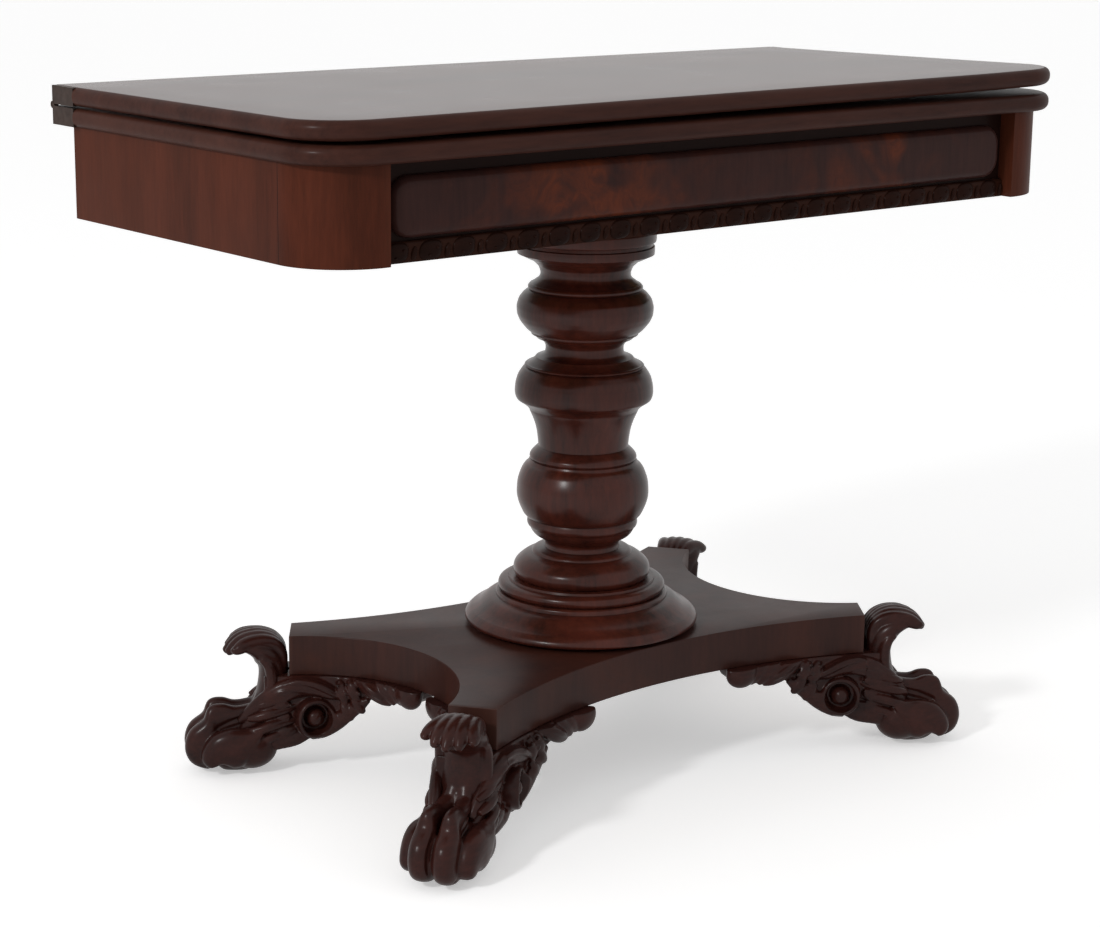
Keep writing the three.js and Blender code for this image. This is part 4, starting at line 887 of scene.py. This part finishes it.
def hollow_side(half_chord, depth, chord_depth):
    """Radius, centre and half angle of the arc that hollows one side of the plinth."""
    sagitta = chord_depth - depth
    radius = (half_chord ** 2 + sagitta ** 2) / (2 * sagitta)
    return radius, depth + radius, math.asin(half_chord / radius)


FRONT_RADIUS, FRONT_CENTRE, FRONT_HALF_ANGLE = hollow_side(
    LONG_CORNER[0], PLINTH_HALF_DEPTH, LONG_CORNER[1]
)
SIDE_RADIUS, SIDE_CENTRE, SIDE_HALF_ANGLE = hollow_side(
    SHORT_CORNER[1], PLINTH_HALF_WIDTH, SHORT_CORNER[0]
)


def front_edge(distance):
    """Point and outward direction on the long hollow side of the +X +Y arm."""
    angle = FRONT_HALF_ANGLE - distance / FRONT_RADIUS
    across, along = math.sin(angle), math.cos(angle)
    point = Vector((FRONT_RADIUS * across, FRONT_CENTRE - FRONT_RADIUS * along))
    return point, Vector((-across, along))


def side_edge(distance):
    """Point and outward direction on the short hollow side of the +X +Y arm."""
    angle = SIDE_HALF_ANGLE - distance / SIDE_RADIUS
    across, along = math.sin(angle), math.cos(angle)
    point = Vector((SIDE_CENTRE - SIDE_RADIUS * along, SIDE_RADIUS * across))
    return point, Vector((along, -across))


def make_plinth():
    bm = bmesh.new()
    outline = []
    shares = [k / HOLLOW_STEPS for k in range(HOLLOW_STEPS + 1)]
    quarter_front = [front_edge(FRONT_RADIUS * FRONT_HALF_ANGLE * share)[0] for share in shares]
    quarter_side = [side_edge(SIDE_RADIUS * SIDE_HALF_ANGLE * share)[0] for share in shares]
    corner = [tuple(p) for p in (*reversed(quarter_side), *quarter_front)]
    for sx, sy in ((1, 1), (-1, 1), (-1, -1), (1, -1)):
        run = [(sx * x, sy * y) for x, y in corner]
        if sx * sy < 0:
            run.reverse()
        for p in run:
            if not outline or (Vector(p) - Vector(outline[-1])).length > 0.01:
                outline.append(p)
    if (Vector(outline[0]) - Vector(outline[-1])).length < 0.01:
        outline.pop()
    raised(bm, outline, PLINTH_BOTTOM, PLINTH_TOP)
    rims = edges_where(bm, lambda a, b: level(a, b))
    rounded(bm, rims, 1.1, 3)
    corners = edges_where(bm, upright)
    sharp = [e for e in corners if e.calc_face_angle(0) > math.radians(25)]
    rounded(bm, sharp, 0.9, 2)
    finished("plinth_shaped", bm, "frame", plinth_veneer, ("plinth",), 30)


make_plinth()

# Carved paw: reach, across, height, half thickness, half width, lean
PALM = (
    (314, 0, 34, 12, 14, 1.1), (324, 0, 33.5, 20, 23, 0.8), (340, 0, 31, 28, 28, 0.3),
    (358, 0, 28, 28, 31, 0.0), (374, 0, 25.5, 25.5, 31, -0.1), (386, 0, 22.5, 21.5, 29, -0.3),
    (394, 0, 20, 14.5, 25, -0.6),
)
NECK = (
    (334, 0, 34, 17, 22, 1.75), (333, 0, 54, 18.5, 25, 1.75), (329.5, 0, 72, 17.5, 24, 1.68),
    (327, 0, 88, 16, 23, 1.6), (325.5, 0, 102, 15.5, 23, 1.57), (326, 0, 113, 15.5, 23.5, 1.45),
    (329, 0, 121, 15.5, 25, 1.15), (335, 0, 128, 15, 26.5, 0.75), (342, 0, 133, 13, 27, 0.35),
    (351, 0, 135.5, 9.5, 26, -0.02), (361, 0, 135.5, 5.5, 22, -0.45),
)
MIDDLE_TOE = (
    (336, 5.5, 86, 8, 6.5, 1.25), (344, 7.5, 73, 10, 8, 0.95), (355, 9.6, 62.5, 11.5, 8.6, 0.4),
    (367, 10.4, 58, 13, 8.2, 0.05), (378, 10.8, 58.2, 16.2, 8, -0.05),
    (386.5, 11.2, 56.5, 16.8, 8.6, -0.4), (391.5, 11.7, 49.5, 11.8, 11, -0.8),
    (395.5, 12, 38, 20.5, 12.6, -1.2), (397, 12, 27, 22.3, 13, -1.55),
    (394.5, 11.9, 17.5, 19.5, 12.6, -1.85), (387, 11.4, 12, 12.5, 11, -2.25),
)
SIDE_TOE = (
    (332, 20, 62, 10, 9, 1.0), (338, 23.5, 48, 15, 11.5, 0.7), (347, 26, 37, 18, 13.2, 0.35),
    (358, 27.5, 31.5, 20.5, 13.6, 0.1), (370, 28.4, 31, 21.5, 13.2, -0.1),
    (380, 28, 28.5, 20, 12.6, -0.45), (387.5, 27.2, 23, 16, 12, -0.9),
    (390.5, 27.1, 17.5, 12, 11, -1.4), (388, 27.2, 13.5, 8, 9.5, -1.9),
)
# The leg under the arm's end, between the two wings
LEG = (
    (206, 0, 98, 7, 13, 0.0), (240, 0, 91, 12, 13.5, 0.2), (262, 0, 84, 17, 14, 0.3),
    (285, 0, 76, 24, 14, 0.4), (318, 0, 64, 28, 14, 0.5),
)
# Shell of the scroll, from the lip over the top and down the back: reach, height, radius, spread
SHELL = (
    (376.5, 127.6, 3.4, 1.0), (372.6, 130.6, 5.2, 0.99), (367.4, 135.4, 6.7, 0.93),
    (360.4, 140.4, 7.6, 0.82), (350.5, 143.6, 7.8, 0.7), (339, 144.4, 7.6, 0.6),
    (327.5, 141.6, 6.4, 0.54), (319.5, 133, 5.8, 0.5), (316.8, 121, 5, 0.5), (318, 106, 4, 0.5),
)
SHELL_PITCH = 12.3
SHELL_LOBES = range(-2, 3)
SHELL_SET_BACK = 2.0
SHELL_DROP = (3.6, 0.8)
# Roll down the edge of the neck, then locks of hair behind the ankle: reach, across, height, radius
ANKLE_STRANDS = (
    ((336, 25, 62, 5), (331, 24, 78, 6.5), (328.5, 23, 94, 6.8), (328.5, 23, 108, 6.6),
     (332, 23.5, 119, 5.6), (339, 24, 126, 4)),
    ((350, 22, 72, 3), (340, 26, 76, 5), (327, 27, 80, 5.5), (312, 25, 84, 5), (300, 22, 88, 3)),
    ((354, 26, 61, 3), (343, 29, 64, 5), (329, 29.5, 68, 5.6), (313, 26, 71, 5), (300, 23, 74, 3)),
    ((350, 31, 50, 3), (339, 32, 52, 5), (325, 30, 56, 5.8), (310, 25, 58, 5), (298, 22, 60, 3)),
    ((342, 31, 38, 3), (331, 29.5, 41, 5), (317, 26, 45, 5.8), (303, 21, 48, 4)),
)
# Balls that fill the forms out: centre, radii
ANKLE_BALL = ((336, 0, 62), (16, 20, 18))
PALM_BALL = ((350, 0, 30), (24, 27, 28))
HEEL_BALL = ((350, 18, 29), (27, 21.5, 23.5))
# Gouge strokes between the toes: points of reach, across and height, then radius and depth
MIDDLE_STROKES = (
    (((352, 0, 74), (370, 0, 72), (386, 0, 70), (396, 0, 58)), 3.6, 2.6),
    (((398, 0, 54), (411, 0, 42), (414, 0, 26), (408, 0, 8)), 3.8, 3.2),
)
SIDE_STROKES = (
    (((350, 18, 62), (368, 20, 58), (386, 20.4, 50)), 3.6, 2.6),
    (((390, 20.4, 46), (402, 20.4, 32), (402, 20.4, 12)), 3.8, 3.0),
)


def shell_lobe(k):
    """One lobe of the shell. The outer lobes stay back and drop at the lip."""
    row = []
    for i, (reach, height, radius, spread) in enumerate(SHELL):
        share = 1 - i / (len(SHELL) - 1)
        drop = k * k * (SHELL_DROP[0] * share ** 4 - SHELL_DROP[1])
        back = SHELL_SET_BACK * k * k * share
        row.append((reach - back, SHELL_PITCH * k * spread, height + drop, radius, 1))
    return row


def make_foot_skin():
    bm = bmesh.new()
    limb(bm, PALM, 40)
    limb(bm, NECK, 56, fullness=1.0)
    blob(bm, *ANKLE_BALL)
    limb(bm, LEG, 16)
    blob(bm, *PALM_BALL)
    for side in (-1, 1):
        (reach, across, height), radii = HEEL_BALL
        blob(bm, (reach, side * across, height), radii)
        limb(bm, MIDDLE_TOE, 26, side)
        limb(bm, SIDE_TOE, 26, side)
        for row in ANKLE_STRANDS:
            strand(bm, [(x, side * y, z, radius, 1) for x, y, z, radius in row])
    for k in SHELL_LOBES:
        strand(bm, shell_lobe(k), 16)
    bm = fused(bm, CARVING_VOXEL, 5)
    strokes = list(MIDDLE_STROKES)
    for side in (-1, 1):
        for points, radius, depth in SIDE_STROKES:
            strokes.append(([(x, side * y, z) for x, y, z in points], radius, depth))
    stroked(bm, strokes)
    smoothed(bm, 0.3)
    # The floor cuts the pads flat
    cut = bmesh.ops.bisect_plane(
        bm, geom=bm.verts[:] + bm.edges[:] + bm.faces[:], plane_co=(0, 0, 0), plane_no=(0, 0, 1),
        clear_inner=True,
    )
    rim = [g for g in cut["geom_cut"] if isinstance(g, bmesh.types.BMEdge)]
    bmesh.ops.holes_fill(bm, edges=rim, sides=0)
    bmesh.ops.rotate(bm, verts=bm.verts, cent=(0, 0, 0), matrix=Matrix.Rotation(ARM_ANGLE, 3, "Z"))
    return bm


# Carved wing in a flat space: distance along the plinth's side, outwards, height
WING_EDGE = (
    (-26, 24), (-12, 30), (4, 37), (16, 42), (28, 49), (40, 57), (52, 65), (64, 73), (76, 80),
    (88, 85), (100, 88), (112, 89), (124, 89), (134, 88), (143, 90.5), (149, 96), (152, 103),
)
# Each strand: point rows of along, out, height, radius, flatness
WING_STRANDS = (
    # The great leaf that springs from the ankle, and its rolled fold
    ((-52, -6, 56, 4, 1), (-38, -3, 69, 8, 0.8), (-22, 1.5, 82, 10.5, 0.62), (-5, 5, 91.5, 11.5, 0.56),
     (13, 5, 95.5, 10.5, 0.58), (30, 5, 94.5, 9.5, 0.6), (44, 4.5, 90, 7.5, 0.65),
     (55, 3, 85.5, 3.4, 0.8)),
    ((-6, 8, 98, 2.4, 1), (8, 9.4, 102, 3.2, 1), (22, 9.6, 101, 3.8, 1), (34, 9.8, 97.5, 4.2, 1),
     (45, 8.6, 92, 3.6, 1), (53, 6, 87, 2.4, 1)),
    ((-24, 5, 84, 2.2, 1), (-8, 10, 92, 2.8, 1), (8, 10, 94, 2.8, 1), (22, 8.6, 91, 2.2, 1)),
    # Locks between the paw and the boss
    ((-52, -6, 44, 4, 1), (-40, -3, 54, 7, 0.8), (-26, 0.5, 66, 8.5, 0.65), (-12, 3.5, 74, 7, 0.65),
     (-1, 5, 78, 3.4, 0.8)),
    ((-48, -5, 31, 4, 1), (-36, -2.5, 41, 7.5, 0.75), (-22, 1.5, 52, 8.5, 0.62), (-8, 4, 60, 7, 0.62),
     (0, 4, 65, 3.4, 0.8)),
    ((-44, -5, 25, 4, 1), (-30, -1.5, 32, 7, 0.75), (-16, 3, 40, 8, 0.62), (-3, 4.5, 46, 7, 0.6),
     (6, 3, 50, 3.6, 0.8)),
    ((-26, 0, 28, 5, 0.8), (-12, 3.5, 34, 7, 0.62), (4, 4.5, 38, 7.5, 0.6), (15, 3.5, 41.5, 6, 0.6),
     (24, 2.5, 44.5, 3, 0.8)),
    # Leaf under the boss and its scalloped edge
    ((22, 3, 40, 3.4, 0.8), (36, 5, 47, 7, 0.6), (50, 5, 57, 8.4, 0.56), (63, 4.5, 68, 8, 0.56),
     (76, 3.5, 78, 6.4, 0.6), (86, 2.5, 85, 3, 0.8)),
    ((44, 5, 70, 3, 0.9), (49, 6.4, 62, 5.2, 0.7), (53, 5, 55.5, 4.4, 0.7), (55, 3, 53, 2.4, 0.8)),
    ((56, 5, 79, 3, 0.9), (61, 6.6, 71, 5.4, 0.7), (66, 5, 64.5, 4.6, 0.7), (68, 3, 62, 2.4, 0.8)),
    ((68, 5, 87, 3, 0.9), (73, 6.4, 80, 5.2, 0.7), (79, 5, 73.5, 4.6, 0.7), (81, 3, 71, 2.4, 0.8)),
    # Small lobes beside the great leaf
    ((53, 3, 103, 3, 0.9), (56, 6, 96, 5.6, 0.7), (58, 6.6, 87, 6.2, 0.65), (61, 4, 79, 3.4, 0.8)),
    ((64, 3, 104, 3, 0.9), (67.5, 6, 98, 5.6, 0.7), (71, 6.4, 90, 6.2, 0.65), (75, 4, 82, 3.6, 0.8)),
    # Broad leaf
    ((72, 2, 106, 5, 0.7), (84, 6, 102, 8, 0.62), (96, 7, 95.5, 8.8, 0.6), (107, 5.6, 89.5, 7, 0.65),
     (115, 3.4, 85.5, 3, 0.9)),
    ((78, 6, 106, 2.4, 1), (88, 10.4, 102, 3.4, 1), (98, 11, 96.5, 3.8, 1), (107, 8.6, 91, 3, 1)),
    # Lobes towards the end roll
    ((98, 3, 106, 4, 0.8), (107, 6, 100, 6.6, 0.65), (115, 6, 93.5, 6.4, 0.65), (121, 4, 87, 3.6, 0.8)),
    ((110, 3, 106, 4, 0.8), (118, 6, 101, 6.4, 0.65), (125, 5.6, 94.5, 6, 0.65),
     (130, 3.6, 88.5, 3.4, 0.8)),
)
WING_BLOBS = (
    ((139, 3.5, 101), (17.5, 10, 16)), ((53, 9.5, 99), (2.2, 2, 2.2)),
    ((62.5, 10, 92), (2.4, 2.2, 2.4)), ((63, 9, 101.5), (2, 2, 2)),
    ((78, 8.8, 92.5), (2.3, 2.2, 2.3)), ((-6, 6, 79), (2.6, 2.4, 2.4)), ((1, 7, 76), (2.2, 2, 2.2)),
)
# Drum of the boss: radius and height over the wing's face, in smooth runs
BOSS_RUNS = (
    ((0, -8), (20.4, -8)),
    ((20.4, -8), (21.2, 0), (21.4, 6), (20.6, 9.6), (18.6, 10.8), (16.8, 9.8), (16, 5)),
    ((16, 5), (16, 0)),
    ((16, 0), (0, 0)),
)
BOSS_BALL_RADIUS = 10.0
BOSS_BALL_RISE = 1.0
BOSS_TILT = math.radians(-20)
# The dish round the ball: radius from the ball, share of the dish's depth
BOSS_DISH = ((9.2, 0), (11.4, 1), (14.2, 1), (17.4, 0))
BOSS_DISH_FLOOR = -3.0
BOSS_PLACE = (26.0, 2.0, 62.0)
WING_DEPTH = 21
WING_BEND = 40
LONG_WING = 166
SHORT_WING = 156


def boss_share(from_ball):
    """How deep the dish is at a distance from the ball, with soft shoulders."""
    for (start, low), (end, high) in zip(BOSS_DISH, BOSS_DISH[1:]):
        if from_ball <= end:
            share = low + (high - low) * (from_ball - start) / (end - start)
            return share * share * (3 - 2 * share)
    return 0.0


def add_boss(bm):
    boss = bmesh.new()
    turned(boss, BOSS_RUNS, 48)
    blob(boss, (0, 0, BOSS_BALL_RISE), (BOSS_BALL_RADIUS,) * 3)
    for angle, axis in ((math.radians(-90), "X"), (BOSS_TILT, "Z")):
        bmesh.ops.rotate(boss, verts=boss.verts, cent=(0, 0, 0), matrix=Matrix.Rotation(angle, 3, axis))
    bmesh.ops.translate(boss, verts=boss.verts, vec=BOSS_PLACE)
    keep = bpy.data.meshes.new("boss")
    boss.to_mesh(keep)
    boss.free()
    bm.from_mesh(keep)
    bpy.data.meshes.remove(keep)


def dish_boss(bm):
    stand = Matrix.Translation(BOSS_PLACE) @ Matrix.Rotation(BOSS_TILT, 4, "Z")
    level_again = stand.inverted()
    for v in bm.verts:
        spot = level_again @ v.co
        from_ball = math.hypot(spot.x, spot.z)
        if spot.y > BOSS_DISH_FLOOR and BOSS_DISH[0][0] < from_ball < BOSS_DISH[-1][0]:
            spot.y += (BOSS_DISH_FLOOR - spot.y) * boss_share(from_ball)
            v.co = stand @ spot


def make_wing_skin(edge, length):
    """Carves a wing in a flat space, then bends it along its side of the plinth. The part
    ahead of the arm's corner follows the foot."""
    bm = bmesh.new()
    ends = ((WING_EDGE[-1][0], WING_TOP), (WING_EDGE[0][0], WING_TOP))
    face = bm.faces.new([bm.verts.new((u, -WING_DEPTH, z)) for u, z in (*WING_EDGE, *ends)])
    made = bmesh.ops.extrude_face_region(bm, geom=[face])
    moved = [g for g in made["geom"] if isinstance(g, bmesh.types.BMVert)]
    bmesh.ops.translate(bm, verts=moved, vec=(0, WING_DEPTH + 2, 0))
    for points in WING_STRANDS:
        strand(bm, points)
    for centre, radii in WING_BLOBS:
        blob(bm, centre, radii)
    add_boss(bm)
    bm = fused(bm, CARVING_VOXEL, 4)
    dish_boss(bm)
    smoothed(bm, 0.25)
    stretch = (length - WING_BEND) / (SHORT_WING - WING_BEND)
    beside_arm = ARM_AHEAD.orthogonal()
    if beside_arm.dot(edge(0)[1]) < 0:
        beside_arm = -beside_arm
    for v in bm.verts:
        along = v.co.x
        if along > WING_BEND:
            along = WING_BEND + (along - WING_BEND) * stretch
        point, out = edge(max(along, 0))
        if along < 0:
            point = point - along * ARM_AHEAD
            out = beside_arm
        v.co = Vector((point.x + out.x * v.co.y, point.y + out.y * v.co.y, min(v.co.z, WING_TOP)))
    if edge(0)[1].x > 0.5:
        bmesh.ops.reverse_faces(bm, faces=bm.faces)
    return bm


def placed(bm, sx, sy):
    """A copy of a skin, mirrored to its own corner."""
    copy = bm.copy()
    bmesh.ops.scale(copy, vec=(sx, sy, 1), verts=copy.verts)
    if sx * sy < 0:
        bmesh.ops.reverse_faces(copy, faces=copy.faces)
    return copy


foot_skin = make_foot_skin()
long_wing = make_wing_skin(front_edge, LONG_WING)
short_wing = make_wing_skin(side_edge, SHORT_WING)
for word, sx, sy in CORNERS:
    for stem, skin, replaced in (
        ("paw_foot_carved_", foot_skin, "paw_foot_"),
        ("wing_long_carved_", long_wing, "wing_long_"),
        ("wing_short_carved_", short_wing, "wing_short_"),
    ):
        skin_here = placed(skin, sx, sy)
        finished(stem + word, skin_here, "frame", carved_wood, (replaced + word,), 0)
for skin in (foot_skin, long_wing, short_wing):
    skin.free()

# CAD nodes that stay, with their finishes
FINISH_OF_SLOT = {
    "mahogany": frame_wood,
    "figured_veneer": end_veneer,
    "carved_mahogany": carved_wood,
    "secondary_wood": plain_wood,
    "aged_brass": brass,
    "dark_iron": iron,
}
slot_of_node = {row["node"]: row["material_slot"] for row in frame["record"]["subparts"]}
for name, piece in nodes.items():
    piece.data.materials.clear()
    piece.data.materials.append(FINISH_OF_SLOT[slot_of_node[name]])


# Stage: pale floor, soft light and the camera
WORLD_LIGHT = 0.62
FLOOR_GLOW = 0.4
FLOOR_SIZE = 14
KEY_PLACE = (-3.6, -0.8, 2.35)
KEY_TARGET = (0, 0, 0.4)
KEY_SIZE = 0.5
KEY_POWER = 60


def background_rays(tree):
    """One where the camera sees the backdrop, directly or in a reflection."""
    path = node(tree, "ShaderNodeLightPath")
    seen = math_node(tree, "MAXIMUM", path.outputs["Is Camera Ray"], path.outputs["Is Glossy Ray"])
    return math_node(tree, "MAXIMUM", seen, path.outputs["Is Transmission Ray"])


def make_floor():
    material, tree, shader = new_material("pale floor")
    shader.inputs["Base Color"].default_value = (0.9, 0.9, 0.9, 1)
    shader.inputs["Roughness"].default_value = 0.9
    shader.inputs["Specular IOR Level"].default_value = 0.1
    glow = math_node(tree, "MULTIPLY", background_rays(tree), FLOOR_GLOW)
    tree.links.new(glow, shader.inputs["Emission Strength"])
    bm = bmesh.new()
    bmesh.ops.create_grid(bm, x_segments=1, y_segments=1, size=FLOOR_SIZE)
    floor = as_object("studio_floor", bm)
    floor.data.materials.append(material)


def make_world():
    world = bpy.data.worlds.new("studio")
    world.use_nodes = True
    tree = world.node_tree
    background = tree.nodes["Background"]
    extra = math_node(tree, "MULTIPLY", background_rays(tree), 1 - WORLD_LIGHT)
    strength = math_node(tree, "ADD", WORLD_LIGHT, extra)
    background.inputs["Color"].default_value = (1, 1, 1, 1)
    tree.links.new(strength, background.inputs["Strength"])
    scene.world = world


def make_lamp(name, place, target, size, power):
    lamp = bpy.data.lights.new(name, "AREA")
    lamp.shape = "DISK"
    lamp.size = size
    lamp.energy = power
    holder = bpy.data.objects.new(name, lamp)
    holder.location = place
    holder.rotation_euler = (Vector(target) - Vector(place)).to_track_quat("-Z", "Y").to_euler()
    scene.collection.objects.link(holder)


CAMERA_PLACE = Vector((-1659.07, -1954.71, 934.01)) * MM
CAMERA_YAW = -0.690
CAMERA_PITCH = -0.239
CAMERA_ROLL = 0.011
FOCAL_PIXELS = 2520.9
PICTURE_WIDTH = 1100
PICTURE_HEIGHT = 927
OPTICAL_CENTRE = (549.07, 471.65)
SENSOR = 36.0


def make_camera():
    camera = bpy.data.cameras.new("camera")
    camera.sensor_fit = "HORIZONTAL"
    camera.sensor_width = SENSOR
    camera.lens = FOCAL_PIXELS / PICTURE_WIDTH * SENSOR
    camera.shift_x = (PICTURE_WIDTH / 2 - OPTICAL_CENTRE[0]) / PICTURE_WIDTH
    camera.shift_y = (OPTICAL_CENTRE[1] - PICTURE_HEIGHT / 2) / PICTURE_WIDTH
    ahead = Vector((
        -math.sin(CAMERA_YAW) * math.cos(CAMERA_PITCH),
        math.cos(CAMERA_YAW) * math.cos(CAMERA_PITCH),
        math.sin(CAMERA_PITCH),
    ))
    right = ahead.cross(Vector((0, 0, 1))).normalized()
    up = right.cross(ahead)
    c, s = math.cos(CAMERA_ROLL), math.sin(CAMERA_ROLL)
    right, up = right * c + up * s, up * c - right * s
    rotation = Matrix((right, up, -ahead)).transposed().to_4x4()
    holder = bpy.data.objects.new("camera", camera)
    holder.matrix_world = Matrix.Translation(CAMERA_PLACE) @ rotation
    scene.collection.objects.link(holder)
    scene.camera = holder


make_floor()
make_world()
make_lamp("key_window", KEY_PLACE, KEY_TARGET, KEY_SIZE, KEY_POWER)
make_camera()
scene.view_settings.view_transform = "Standard"
